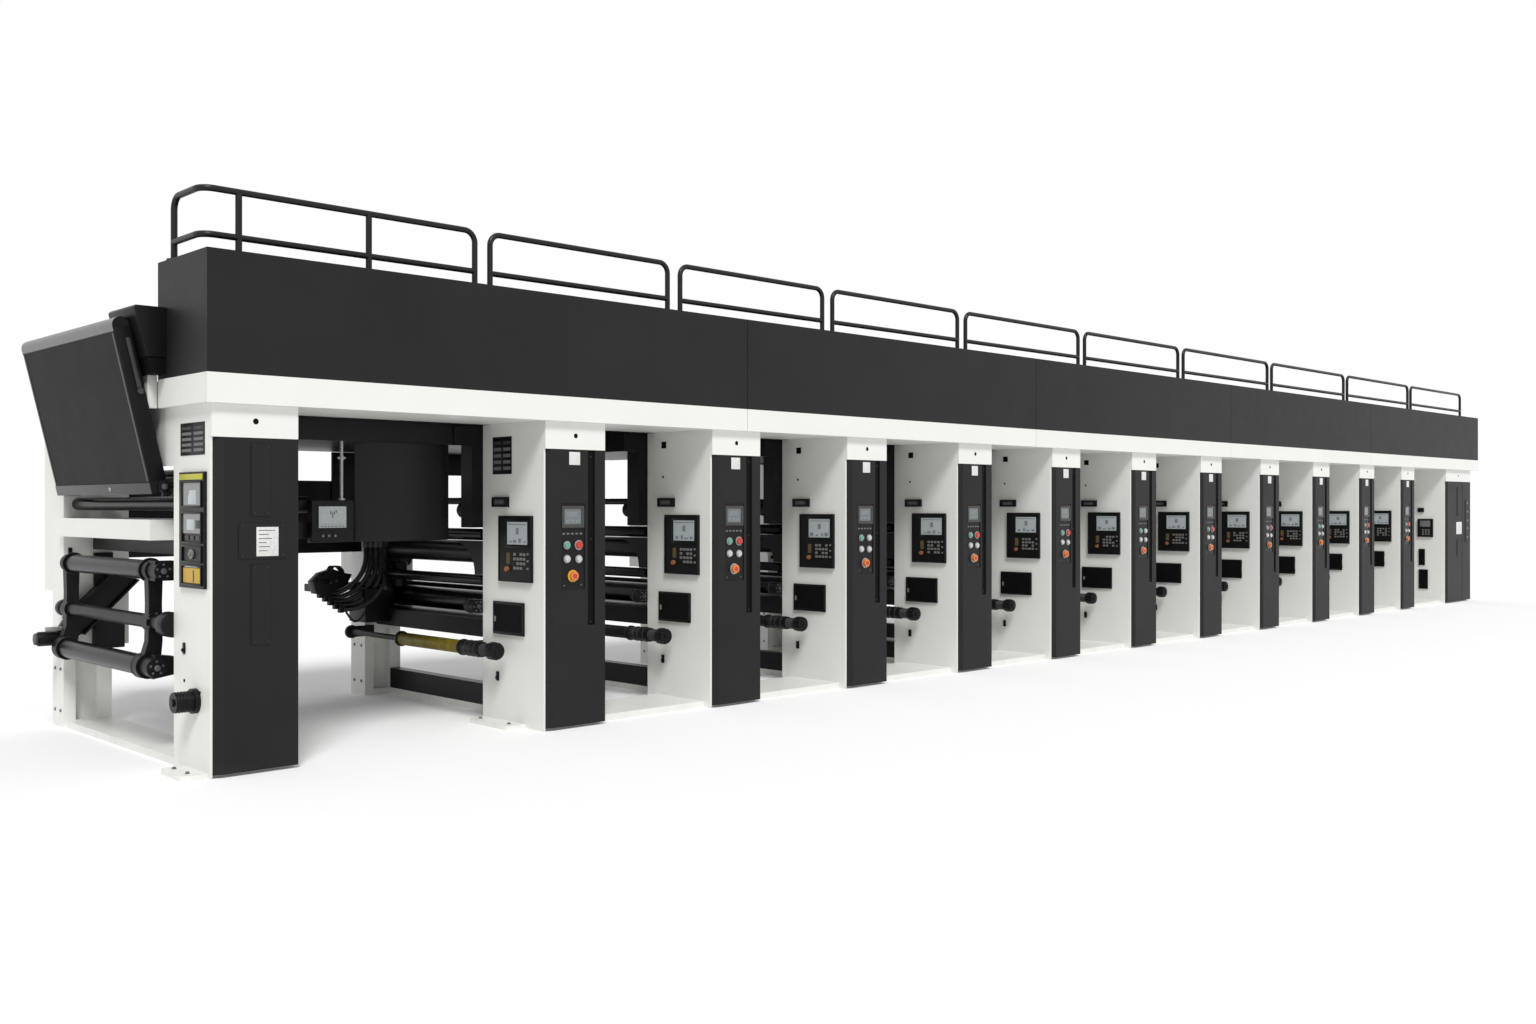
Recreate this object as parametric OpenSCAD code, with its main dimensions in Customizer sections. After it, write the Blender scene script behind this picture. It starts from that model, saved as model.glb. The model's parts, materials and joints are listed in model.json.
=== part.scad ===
// Film printing machine: a line of printing units under one long header.
// X runs along the machine from the infeed, Y runs from the operator side to the rear.

/* [Columns] */
// Width of an operator side column
col_w = 530; // [400:1:700]
// Height of the columns up to the header beam
col_h = 2205; // [1900:1:2500]
// Height of the white cap over each dark front cover
cap_h = 197; // [100:1:400]
// Thickness of the dark front covers
cover_t = 60; // [30:1:100]
// Depth of a printing unit column
housing_d = 800; // [500:1:1200]
// Depth of the columns at both ends of the line
end_d = 565; // [400:1:800]
// Width of the last column
last_w = 1150; // [900:1:1300]
// Width of the cover strip at the right of the last column
strip_w = 400; // [200:1:500]

/* [Line] */
// Number of printing units
unit_count = 11; // [1:1:12]
// Distance from one unit to the next
unit_pitch = 1596; // [1300:1:2000]
// Left side of the first unit
unit_x = 2360; // [1500:1:3000]
// Front face of the rear frames
rear_y = 2600; // [2000:1:3200]
// Thickness of the rear frames
rear_t = 240; // [150:1:400]
// Width of the rear frames
rear_w = 450; // [300:1:600]
// Depth of the gear covers on the rear frames
gear_d = 180; // [100:1:300]

/* [Header] */
// Height of the white beam
beam_h = 177; // [100:1:300]
// Height of the dark fascia
fascia_h = 723; // [400:1:1000]
// Plate thickness of the header
plate_t = 40; // [10:1:60]
// How far the header stands out in front and at the left end
over = 45; // [0:1:100]
// Back face of the header
header_back_y = 700; // [500:1:1000]
// Distance from the last unit to the outfeed column
last_gap = 1930; // [1500:1:2400]
// How far the header runs past the last column
header_tail = 250; // [0:1:600]
// Height of the top rail over the deck
rail_h = 390; // [300:1:1200]
// Height of the middle rail over the deck
mid_h = 115; // [50:1:600]
// Radius of the rail tube
rail_r = 20; // [10:1:40]
// Bend radius of the rail corners
bend_r = 80; // [40:1:150]

/* [Printing unit] */
// Radius of the gravure cylinder
gravure_r = 85; // [60:1:200]
// Height of the gravure cylinder axis
gravure_z = 855; // [600:1:1100]
// Distance of the gravure cylinder axis from the unit's left side
gravure_x = 230; // [150:1:300]
// Radius of the journals
journal_r = 30; // [15:1:60]
// Radial clearance of the turning shafts
running = 0.05; // [0.01:0.01:0.1]
// Radius of the impression roller
impression_r = 85; // [60:1:150]
// Radius of the ink roller sleeve
ink_r = 50; // [40:1:80]
// Radius of the ink roller shaft
ink_shaft_r = 22; // [15:1:35]
// Distance of the ink roller in front of the unit's left side
ink_x = 130; // [90:1:250]
// Height of the ink roller axis
ink_z = 550; // [400:1:700]

/* [Unwind] */
// Height of the turret axis
turret_z = 870; // [700:1:1000]
// Radius of the turret shaft
turret_r = 45; // [30:1:80]
// Distance of the upper reel shaft from the turret axis
reel_up = 325; // [200:1:350]
// Height of the lower reel shaft under the turret axis
reel_down = 275; // [200:1:350]
// Radius of the upper reel shaft
upper_r = 62; // [40:1:80]
// Radius of the lower reel shaft
lower_r = 66; // [40:1:80]

/* [Inspection panel] */
// Height of the panel along its face
panel_h = 1060; // [600:1:1300]
// Thickness of the panel
panel_t = 100; // [50:1:150]
// Tilt of the panel away from upright
panel_tilt = 13; // [0:1:30]
// Height of the panel pivot
panel_z = 1720; // [1650:1:1900]
// Radius of the pivot pins
pin_r = 15; // [8:1:25]

/* [Hidden] */
$fn = 48;
beam_z = col_h;
cover_h = col_h - cap_h;
fascia_z = col_h + beam_h;
deck_z = fascia_z + fascia_h;
last_x = unit_x + (unit_count - 1) * unit_pitch + last_gap;
header_x1 = last_x + last_w + header_tail;
panel_x = -20;
panel_front = 70;
panel_left = panel_x - panel_front * cos(panel_tilt) - panel_h * sin(panel_tilt);
back_y = rear_y + rear_t + gear_d;
origin_x = round((header_x1 + panel_left) / 2);
origin_y = (back_y - over) / 2;
hood_z = col_h - 155;
hood_top = deck_z - 115;
tray_z = 1385;
tray_t = 130;
cabinet_z = 1360;
drive_z = 1440;
gear_z0 = 980;
gear_z1 = 2150;
impression_x = 130;
lip = 22;
lip_w = 14;
pan_z = 600;
impression_z = 1250;
seams = [0, 4300, 8380, 12620, 17000];

white = [0.87, 0.87, 0.85];
dark = [0.15, 0.15, 0.15];
black = [0.07, 0.07, 0.07];

// Puts the machine's own corner point into the shared frame.
module place() {
  translate([-origin_x, -origin_y, 0])
    children();
}

module box(x0, x1, y0, y1, z0, z1) {
  translate([x0, y0, z0])
    cube([x1 - x0, y1 - y0, z1 - z0]);
}

// A round bar along Y.
module bar(x, z, y0, y1, r) {
  translate([x, y0, z])
    rotate([-90, 0, 0])
      cylinder(r = r, h = y1 - y0);
}

module each_unit() {
  for (i = [0 : unit_count - 1])
    translate([unit_x + i * unit_pitch, 0, 0])
      children();
}

// Column housings

// A column: its body, the cap over the cover and the narrow lip left of the cover.
module housing(w, d) {
  difference() {
    union() {
      box(0, w, cover_t, d, 0, col_h);
      box(0, w, 0, cover_t, cover_h, col_h);
      box(0, lip_w, lip, cover_t, 0, cover_h);
    }
    translate([w / 2, -1, (cover_h + col_h) / 2])
      rotate([-90, 0, 0])
        cylinder(r = 18, h = 30);
  }
}

module foot(y0, y1) {
  difference() {
    union() {
      box(-90, 0, y0, y1, 0, 30);
      box(-150, -90, y0 + 60, y1 - 60, 0, 30);
      translate([-90, y0 + 60, 0])
        cylinder(r = 60, h = 30);
      translate([-90, y1 - 60, 0])
        cylinder(r = 60, h = 30);
    }
    translate([-85, y0 + 80, -1])
      cylinder(r = 14, h = 40);
  }
}

module infeed_housing() {
  color(white)
    place() {
      housing(col_w, end_d);
      foot(60, 420);
    }
}

module outfeed_housing() {
  color(white)
    place()
      translate([last_x, 0, 0])
        housing(last_w, end_d);
}

module unit_housings() {
  color(white)
    place() {
      each_unit()
        housing(col_w, housing_d);
      translate([unit_x, 0, 0])
        foot(250, 780);
    }
}

// Dark front covers with a chamfered left edge

module cover_blank(w) {
  linear_extrude(cover_h - 20)
    polygon([[lip_w, cover_t], [lip_w, lip], [70, 0], [w, 0], [w, cover_t]]);
}

module infeed_cover() {
  color(dark)
    place() {
      translate([0, 0, 20])
        cover_blank(col_w);
      box(235, 355, -6, 0, 1540, 1975);
      box(160, 445, -6, 0, 1285, 1500);
      box(235, 355, -6, 0, 770, 1250);
    }
}

module unit_cover() {
  difference() {
    translate([0, 0, 20])
      cover_blank(col_w);
    box(135, 345, -1, 14, 1000, 1620);
    box(372, 437, -1, 12, 735, cover_h);
  }
}

module unit_covers() {
  color(dark)
    place()
      each_unit()
        unit_cover();
}

module outfeed_cover() {
  seam_x = last_w - strip_w;
  color(dark)
    place()
      translate([last_x, 0, 0]) {
        translate([0, 0, 20])
          cover_blank(seam_x);
        box(seam_x + 14, last_w, 0, cover_t, 20, cover_h);
        box(seam_x - 240, seam_x - 15, -6, 0, 1434, 1920);
        box(seam_x - 240, seam_x - 15, -6, 0, 762, 1035);
        box(seam_x + 150, seam_x + 330, -6, 0, 990, 1704);
      }
}

// Rear frames and the floor

// A rear frame: its foot is narrower than its head and has a pocket in its face.
module rear_frame() {
  foot_w = rear_w - 120;
  difference() {
    box(0, rear_w, rear_y, rear_y + rear_t, 0, col_h);
    box(foot_w, rear_w + 1, rear_y - 1, rear_y + rear_t + 1, -1, pan_z - 20);
    box(82, 230, rear_y - 1, rear_y + 70, 50, pan_z - 40);
  }
}

module rear_frames() {
  color(white)
    place() {
      rear_frame();
      each_unit()
        rear_frame();
      translate([last_x, 0, 0])
        rear_frame();
    }
}

module gear_cover() {
  box(0, rear_w - 60, rear_y + rear_t, back_y, gear_z0, gear_z1);
}

module rear_gear_covers() {
  color(white)
    place() {
      gear_cover();
      each_unit()
        gear_cover();
      translate([last_x, 0, 0])
        gear_cover();
    }
}

module sole_plates() {
  color(white)
    place() {
      box(20, 330, end_d, rear_y, 0, 50);
      each_unit()
        box(230, 500, housing_d, rear_y, 0, 50);
      translate([last_x, 0, 0])
        box(20, 330, end_d, rear_y, 0, 50);
    }
}

module floor_plates() {
  color(white)
    place() {
      for (i = [0 : unit_count - 2])
        translate([unit_x + i * unit_pitch, 0, 0])
          box(col_w, unit_pitch, 100, 700, 0, 50);
      box(unit_x + (unit_count - 1) * unit_pitch + col_w, last_x, 100, 560, 0, 50);
    }
}

module tie_beams() {
  color(black)
    place()
      each_unit()
        box(235, 330, housing_d, rear_y, 50, 215);
}

// Header

// Ends of one header section, with a 6 mm joint to the next one.
function section_x0(i) = (i == 0 ? -over : seams[i] + 3);
function section_x1(i) = (i == len(seams) - 1 ? header_x1 : seams[i + 1] - 3);

module header_fascia() {
  color(dark)
    place()
      for (i = [0 : len(seams) - 1])
        box(section_x0(i), section_x1(i), -over, plate_t - over, fascia_z, deck_z);
}

module header_shell() {
  color(dark)
    place() {
      box(-over, plate_t - over, plate_t - over, header_back_y, fascia_z, deck_z);
      box(header_x1 - plate_t, header_x1, plate_t - over, header_back_y, fascia_z, deck_z);
      box(plate_t - over, header_x1 - plate_t, header_back_y - plate_t, header_back_y,
        fascia_z, deck_z - plate_t);
    }
}

// The white beam: its sections have a rounded lower right end.
module header_beam() {
  end_r = 60;
  color(white)
    place() {
      for (i = [0 : len(seams) - 2])
        box(section_x0(i), section_x1(i), -over, header_back_y, beam_z, fascia_z);
      translate([0, header_back_y, 0])
        rotate([90, 0, 0])
          linear_extrude(header_back_y + over)
            union() {
              translate([section_x0(len(seams) - 1), beam_z])
                square([header_x1 - end_r - section_x0(len(seams) - 1), beam_h]);
              translate([header_x1 - end_r - 1, beam_z + end_r])
                square([end_r + 1, beam_h - end_r]);
              translate([header_x1 - end_r, beam_z + end_r])
                circle(r = end_r);
            }
    }
}

module walkway_deck() {
  color(dark)
    place()
      box(plate_t - over, header_x1 - plate_t, plate_t - over, header_back_y,
        deck_z - plate_t, deck_z);
}

// One bent corner of the rail, from an upright to a level bar.
module rail_corner() {
  translate([bend_r, 0, -bend_r])
    rotate([90, 0, 0])
      rotate([0, 0, 90])
        rotate_extrude(angle = 90)
          translate([bend_r, 0, 0])
            circle(r = rail_r);
}

module rail_section(x0, x1) {
  top = deck_z + rail_h;
  for (x = [x0, x1])
    translate([x, rail_y, deck_z])
      cylinder(r = rail_r, h = rail_h - bend_r);
  translate([x0, rail_y, top])
    rail_corner();
  translate([x1, rail_y, top])
    rotate([0, 0, 180])
      rail_corner();
  translate([x0 + bend_r, rail_y, top])
    rotate([0, 90, 0])
      cylinder(r = rail_r, h = x1 - x0 - 2 * bend_r);
  translate([x0, rail_y, deck_z + mid_h])
    rotate([0, 90, 0])
      cylinder(r = rail_r, h = x1 - x0);
}

rail_y = 150;
rail_gap = 130;
rail_x = [1998, 3748, 5520, 7450, 9595, 11780, 14165, 16630, 19105];

module handrails() {
  color(black)
    place() {
      // The first section turns back along the left end.
      translate([0, rail_y, 0])
        for (h = [mid_h, rail_h])
          translate([bend_r, 0, deck_z + h])
            rotate([0, 90, 0])
              cylinder(r = rail_r, h = 1875 - 2 * bend_r);
      for (h = [mid_h, rail_h]) {
        translate([bend_r, rail_y + bend_r, deck_z + h])
          rotate([0, 0, 180])
            rotate_extrude(angle = 90)
              translate([bend_r, 0, 0])
                circle(r = rail_r);
      }
      bar(0, deck_z + mid_h, rail_y + bend_r, 560, rail_r);
      bar(0, deck_z + rail_h, rail_y + bend_r, 560 - bend_r, rail_r);
      translate([0, 560, deck_z + rail_h])
        rotate([0, 0, -90])
          rail_corner();
      translate([0, 560, deck_z])
        cylinder(r = rail_r, h = rail_h - bend_r);
      for (x = [225, 1080])
        translate([x, rail_y, deck_z])
          cylinder(r = rail_r, h = rail_h);
      translate([1875 - bend_r, rail_y, deck_z + mid_h])
        rotate([0, 90, 0])
          cylinder(r = rail_r, h = bend_r);
      translate([1875 - bend_r * 2, rail_y, deck_z + rail_h])
        rotate([0, 90, 0])
          cylinder(r = rail_r, h = bend_r);
      translate([1875, rail_y, deck_z + rail_h])
        rotate([0, 0, 180])
          rail_corner();
      translate([1875, rail_y, deck_z])
        cylinder(r = rail_r, h = rail_h - bend_r);
      for (i = [0 : len(rail_x) - 1])
        rail_section(rail_x[i], (i == len(rail_x) - 1 ? header_x1 - 300 : rail_x[i + 1] - rail_gap));
    }
}

module infeed_cross_beam() {
  color(white)
    place()
      box(0, 300, header_back_y, rear_y + rear_t, beam_z, fascia_z);
}

// A dryer hood: a throat between the frames and a box with sloped shoulders over them.
module hood(x0, x1) {
  slope = 180;
  box(x0, x1, housing_d, rear_y, hood_z, beam_z);
  translate([x1, 0, 0])
    rotate([90, 0, -90])
      linear_extrude(x1 - x0)
        polygon([[-header_back_y, beam_z], [-header_back_y, hood_top], [-rear_y, hood_top],
          [-rear_y - rear_t, hood_top - slope], [-rear_y - rear_t, beam_z]]);
}

module dryer_hoods() {
  color(black)
    place() {
      hood(800, unit_x - 260);
      each_unit()
        hood(-250, unit_pitch - 560);
      hood(last_x - 700, last_x + last_w - 100);
    }
}

// Printing unit, measured from the left side of its column

module impression_rollers() {
  color(black)
    place()
      each_unit() {
        bar(impression_x, impression_z, housing_d, rear_y, 25);
        bar(impression_x, impression_z, housing_d + 110, rear_y - 110, impression_r);
        // Swing arms that carry the roller ends
        for (y = [housing_d + 30, rear_y - 70])
          translate([impression_x, y + 40, impression_z])
            rotate([90, 0, 0])
              linear_extrude(40)
                union() {
                  circle(r = 60);
                  polygon([[-60, 0], [60, 0], [190, 90], [190, 170], [120, 170]]);
                }
      }
}

module guide_roller(x, z, r) {
  bar(x, z, housing_d, rear_y, 18);
  bar(x, z, housing_d + 60, rear_y - 60, r);
}

module guide_rollers() {
  color(black)
    place()
      each_unit() {
        guide_roller(60, 1385, 45);
        guide_roller(110, 1640, 26);
        guide_roller(400, 1250, 40);
        guide_roller(60, 1040, 40);
      }
}

// A journal block with a round cap on its face.
module bearing(y0, y1, y_bore0, y_bore1) {
  half = 80;
  difference() {
    union() {
      box(gravure_x - half, gravure_x + half, y0, y1, gravure_z - half, gravure_z + half - 20);
      bar(gravure_x, gravure_z, y0, y1, half);
    }
    bar(gravure_x, gravure_z, y_bore0, y_bore1, journal_r + running);
  }
}

module cylinder_bearings() {
  color(black)
    place()
      each_unit() {
        bearing(housing_d, housing_d + 70, housing_d + 8, housing_d + 71);
        bearing(rear_y - 70, rear_y, rear_y - 71, rear_y - 8);
        // Side drum of the blade carriage
        box(-40, 70, housing_d, housing_d + 40, 800, 900);
        bar(-40, 850, housing_d, housing_d + 120, 52);
      }
}

module gravure_cylinder(i) {
  face0 = housing_d + 130;
  face1 = rear_y - 130;
  color([0.45, 0.45, 0.47])
    place()
      translate([unit_x + (i - 1) * unit_pitch + gravure_x, face0, gravure_z])
        rotate([-90, 0, 0])
          rotate_extrude()
            polygon([[0, housing_d + 14 - face0], [journal_r, housing_d + 14 - face0],
              [journal_r, -20], [gravure_r - 25, 0], [gravure_r - 8, 0], [gravure_r, 8],
              [gravure_r, face1 - face0 - 8], [gravure_r - 8, face1 - face0],
              [gravure_r - 25, face1 - face0], [journal_r, face1 - face0 + 20],
              [journal_r, rear_y - 14 - face0], [0, rear_y - 14 - face0]]);
}

module ink_rollers() {
  color([0.5, 0.45, 0.1])
    place()
      each_unit()
        bar(-ink_x, ink_z, housing_d + 180, housing_d + 880, ink_r);
}

// The ink roller's shaft halves, its end plates and the hand knob on the operator side.
// The ink roller's shaft halves, its end plates and the hand knob on the operator side.
module ink_roller_brackets() {
  plate_h = 45;
  color(black)
    place()
      each_unit() {
        for (y = [housing_d, rear_y - 30])
          translate([-ink_x, y + 30, ink_z])
            rotate([90, 0, 0])
              linear_extrude(30)
                union() {
                  circle(r = 55);
                  polygon([[0, -plate_h], [ink_x + 70, -plate_h], [ink_x + 70, plate_h], [0, plate_h]]);
                }
        bar(-ink_x, ink_z, housing_d + 30, housing_d + 180, ink_shaft_r);
        bar(-ink_x, ink_z, housing_d + 150, housing_d + 180, ink_r + 12);
        bar(-ink_x, ink_z, housing_d + 880, housing_d + 900, ink_r + 6);
        bar(-ink_x, ink_z, housing_d + 900, rear_y - 30, ink_shaft_r);
        bar(-ink_x, ink_z, 400, housing_d, ink_shaft_r);
        bar(-ink_x, ink_z, 330, 410, 48);
        bar(-ink_x, ink_z, 410, 440, 36);
        bar(-ink_x, ink_z, 640, 730, 58);
      }
}

// A pan with sloped sides that runs from frame to frame under the cylinder.
// A pan with sloped sides that runs from frame to frame under the cylinder.
module ink_pans() {
  pan_top = gravure_z - gravure_r - 15;
  color(black)
    place()
      each_unit()
        translate([0, rear_y, 0])
          rotate([90, 0, 0])
            linear_extrude(rear_y - housing_d)
              polygon([[gravure_x - 190, pan_top - 10], [gravure_x - 120, pan_z],
                [gravure_x + 120, pan_z], [gravure_x + 190, pan_top - 10],
                [gravure_x + 190, pan_top], [gravure_x - 190, pan_top]]);
}

module doctor_blades() {
  color(black)
    place()
      each_unit()
        translate([gravure_x + gravure_r + 15, rear_y, gravure_z + 35])
          rotate([90, 0, 0])
            linear_extrude(rear_y - housing_d)
              polygon([[0, 20], [30, 0], [90, 0], [90, 70], [30, 70]]);
}

module frame_gussets() {
  reach = 350;
  color(black)
    place()
      each_unit()
        difference() {
          box(4, 34, housing_d, housing_d + reach, 1085, 1335);
          translate([0, housing_d + reach + 10, 1080])
            rotate([0, 90, 0])
              cylinder(r = 240, h = 60);
        }
}

// Drive box beside each column, with a round gear cap on its back.
module drive_boxes() {
  color(black)
    place()
      each_unit() {
        box(-95, 50, housing_d, housing_d + 150, drive_z, hood_z);
        bar(-25, drive_z + 130, housing_d + 150, housing_d + 230, 60);
      }
}

module side_control_panels() {
  color(black)
    place() {
      each_unit() {
        box(-25, 0, 148, 555, 1050, 1530);
        box(-20, 0, 450, 650, 1594, 1667);
      }
      translate([last_x, 0, 0]) {
        box(-25, 0, 200, 440, 1090, 1390);
        box(-20, 0, 345, 440, 1500, 1570);
      }
    }
}

module front_control_panels() {
  color(black)
    place()
      each_unit()
        box(135, 345, 6, 14, 1000, 1620);
}

module side_hatches() {
  color(black)
    place() {
      each_unit()
        box(-15, 0, 255, 640, 660, 900);
      translate([last_x, 0, 0]) {
        box(-15, 0, 330, 425, 620, 890);
        box(-15, 0, 283, 425, 230, 550);
      }
    }
}

module reel_control_panel() {
  color(black)
    place()
      box(-20, 0, 66, 430, 1111, 1804);
}

// Unwind end

// The near bearing block, and the slanted arm on the rear frame with its far bearing.
// The near bearing block, and the slanted arm on the rear frame with its far bearing.
module turret_bearings() {
  arm_t = 60;
  arm_rise = 39;
  color(black)
    place()
      difference() {
        union() {
          box(0, 110, end_d, end_d + 85, turret_z - 60, turret_z + 60);
          bar(0, turret_z, end_d, end_d + 110, 78);
          bar(0, turret_z, rear_y - arm_t - 10, rear_y, 95);
          translate([0, rear_y, turret_z])
            rotate([90, -arm_rise, 0])
              linear_extrude(arm_t)
                polygon([[-300, -40], [-100, -80], [100, -80], [430, -60], [430, 60], [100, 80],
                  [-100, 80], [-300, 40]]);
          bar(-240, turret_z - 195, rear_y - arm_t - 10, rear_y + 120, 64);
          bar(-240, turret_z - 195, rear_y + 120, rear_y + 170, 45);
        }
        bar(0, turret_z, end_d + 8, rear_y - 8, turret_r + running);
      }
}

// One arm: two ends for the reel shafts joined by a bar with a hub.
module turret_arm(y0, y1) {
  lower = [-40, turret_z - reel_down];
  upper = [0, turret_z + reel_up];
  difference() {
    union() {
      translate([0, y1, 0])
        rotate([90, 0, 0])
          linear_extrude(y1 - y0)
            polygon([[lower[0] - 50, lower[1]], [-44, turret_z - 120], [-40, turret_z + 120],
              [upper[0] - 46, upper[1]], [upper[0] + 46, upper[1]], [40, turret_z + 120],
              [44, turret_z - 120], [lower[0] + 70, lower[1]]]);
      bar(upper[0], upper[1], y0, y1, 66);
      bar(lower[0], lower[1], y0, y1, 80);
      bar(0, turret_z, y0 - 15, y1 + 15, 62);
    }
    bar(upper[0], upper[1], y0 - 20, y1 + 20, journal_r + running);
    bar(lower[0], lower[1], y0 - 20, y1 + 20, journal_r + running);
  }
}

module unwind_turret() {
  color(black)
    place() {
      bar(0, turret_z, end_d + 14, rear_y - 14, turret_r);
      turret_arm(860, 930);
      turret_arm(2400, 2470);
      // Chuck housings in front of the near arm, closed over the journals
      difference() {
        union() {
          bar(0, turret_z + reel_up, 730, 860, 55);
          box(-40, 90, 760, 860, turret_z + reel_up - 62, turret_z + reel_up + 62);
          bar(-40, turret_z - reel_down, 730, 860, 62);
          translate([-40, 860, turret_z - reel_down])
            rotate([90, 0, 0])
              linear_extrude(100)
                polygon([[-10, -72], [130, -50], [130, 60], [0, 80]]);
        }
        bar(0, turret_z + reel_up, 835, 870, journal_r + running);
        bar(-40, turret_z - reel_down, 835, 870, journal_r + running);
      }
    }
}

// A reel shaft: journals, end collars and the body between them.
module reel_shaft(x, z, r) {
  bar(x, z, 845, 2485, journal_r);
  bar(x, z, 960, 2370, r);
  for (y = [936, 2370])
    bar(x, z, y, y + 24, r + 14);
}

module reel_shaft_upper() {
  color([0.12, 0.12, 0.12])
    place()
      reel_shaft(0, turret_z + reel_up, upper_r);
}

module reel_shaft_lower() {
  color([0.12, 0.12, 0.12])
    place()
      reel_shaft(-40, turret_z - reel_down, lower_r);
}

// A deep tray between the frames, carried on the operator side by a narrower arm.
module infeed_tray() {
  color(white)
    place() {
      box(-50, 400, 820, rear_y, tray_z, tray_z + tray_t);
      box(150, 400, end_d, 820, tray_z, tray_z + tray_t);
    }
}

module infeed_beam() {
  color(black)
    place()
      box(200, 330, end_d, rear_y, tray_z - 100, tray_z);
}

module infeed_rollers() {
  color(black)
    place() {
      bar(100, tray_z + tray_t + 100, end_d, rear_y, 45);
      bar(250, hood_z - 250, end_d, rear_y, 40);
      bar(380, hood_z - 100, end_d, rear_y, 40);
    }
}

// Hinge brackets: the far one stands on the tray, the near one on a foot beside it.
module panel_brackets() {
  color(black)
    place()
      difference() {
        for (y = [655, 2455])
          union() {
            box(-45, 20, y, y + 30, tray_z + tray_t, panel_z);
            bar(panel_x, panel_z, y, y + 30, 38);
            box(-45, 170, y, y + 30, tray_z + tray_t, tray_z + tray_t + 45);
          }
        bar(panel_x, panel_z, 600, 2600, pin_r + running);
      }
}

// A flat door in a deep frame, with a round bar along its top and a rail along its bottom.
module inspection_panel() {
  edge = panel_t / 2;
  color(dark)
    place()
      translate([panel_x, 0, panel_z])
        rotate([0, -panel_tilt, 0]) {
          translate([0, 2450, 0])
            rotate([90, 0, 0])
              linear_extrude(1760)
                union() {
                  translate([-panel_front, -30])
                    square([panel_t, panel_h + 30 - edge]);
                  translate([edge - panel_front, panel_h - edge])
                    circle(r = edge);
                }
          bar(0, 0, 655, 2485, pin_r);
        }
}

module infeed_end_box() {
  color(black)
    place()
      translate([0, 1000, 0])
        rotate([90, 0, 0])
          linear_extrude(440)
            polygon([[-over, 2410], [-over, 2860], [-215, 2860], [-215, 2765], [-133, 2410]]);
}

module infeed_end_panel() {
  color(white)
    place()
      box(0, 20, end_d, 1500, 1850, col_h);
}

module curved_cabinet() {
  color(dark)
    place()
      intersection() {
        translate([1695, 1500, cabinet_z])
          cylinder(r = 740, h = hood_z - cabinet_z, $fn = 96);
        box(1300, 2060, 700, 1500, cabinet_z, hood_z);
      }
}

module operator_screen_box() {
  color(black)
    place() {
      box(1060, 1310, 780, 850, 1370, 1630);
      translate([1262, 815, 1630])
        cylinder(r = 12, h = hood_z - 1630);
    }
}

// Hoses that hang from a bracket on the second rear frame and turn up into a clamp.
module hose_bundle() {
  hang_x = unit_x - 70;
  hang_z = 1180;
  bend = 330;
  color(black)
    place() {
      for (k = [0 : 3])
        translate([hang_x - bend, 2330 + k * 62, hang_z]) {
          rotate([90, 0, 0])
            rotate([0, 0, -90])
              rotate_extrude(angle = 90)
                translate([bend - 30 + k * 20, 0, 0])
                  circle(r = 27);
          translate([bend - 30 + k * 20, 0, 0])
            cylinder(r = 27, h = 130);
        }
      box(hang_x - bend - 140, hang_x - bend, 2290, 2560, 790, 960);
      // Hub block of the first unit's rear frame
      box(unit_x - 40, unit_x + 34, 2440, rear_y, 640, 920);
      // Bracket that carries the hose tops, and the arm behind the clamp
      box(hang_x - 90, unit_x, 2290, rear_y, hang_z + 130, hang_z + 190);
      box(unit_x, unit_x + 35, rear_y - 40, rear_y, hang_z + 110, hang_z + 210);
      box(hang_x - bend - 60, unit_x, rear_y + 10, rear_y + 60, 840, 910);
      box(hang_x - bend - 60, hang_x - bend - 10, 2560, rear_y + 10, 840, 910);
    }
}

module rear_cabinet() {
  color(black)
    place() {
      box(rear_w, unit_x, rear_y + 60, rear_y + rear_t, 1215, 1560);
      box(rear_w, unit_x, rear_y + 60, rear_y + rear_t, 1650, 1810);
    }
}

module brake_motor() {
  color(black)
    place()
      translate([0, 225, 440])
        rotate([0, -90, 0]) {
          cylinder(r = 75, h = 30);
          cylinder(r = 60, h = 135);
        }
}

infeed_housing();
infeed_cover();
outfeed_housing();
outfeed_cover();
unit_housings();
unit_covers();
rear_frames();
rear_gear_covers();
sole_plates();
floor_plates();
tie_beams();
header_fascia();
header_shell();
header_beam();
walkway_deck();
handrails();
infeed_cross_beam();
dryer_hoods();
impression_rollers();
guide_rollers();
cylinder_bearings();
ink_rollers();
ink_roller_brackets();
ink_pans();
doctor_blades();
frame_gussets();
drive_boxes();
side_control_panels();
front_control_panels();
side_hatches();
reel_control_panel();
turret_bearings();
infeed_tray();
infeed_beam();
infeed_rollers();
panel_brackets();
infeed_end_box();
infeed_end_panel();
curved_cabinet();
operator_screen_box();
hose_bundle();
rear_cabinet();
brake_motor();
inspection_panel();
unwind_turret();
reel_shaft_upper();
reel_shaft_lower();
gravure_cylinder(1);  // gravure_cylinder_01
gravure_cylinder(2);  // gravure_cylinder_02
gravure_cylinder(3);  // gravure_cylinder_03
gravure_cylinder(4);  // gravure_cylinder_04
gravure_cylinder(5);  // gravure_cylinder_05
gravure_cylinder(6);  // gravure_cylinder_06
gravure_cylinder(7);  // gravure_cylinder_07
gravure_cylinder(8);  // gravure_cylinder_08
gravure_cylinder(9);  // gravure_cylinder_09
gravure_cylinder(10);  // gravure_cylinder_10
gravure_cylinder(11);  // gravure_cylinder_11
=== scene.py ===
import json
import math

import bmesh
import bpy
from mathutils import Matrix, Vector


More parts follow.
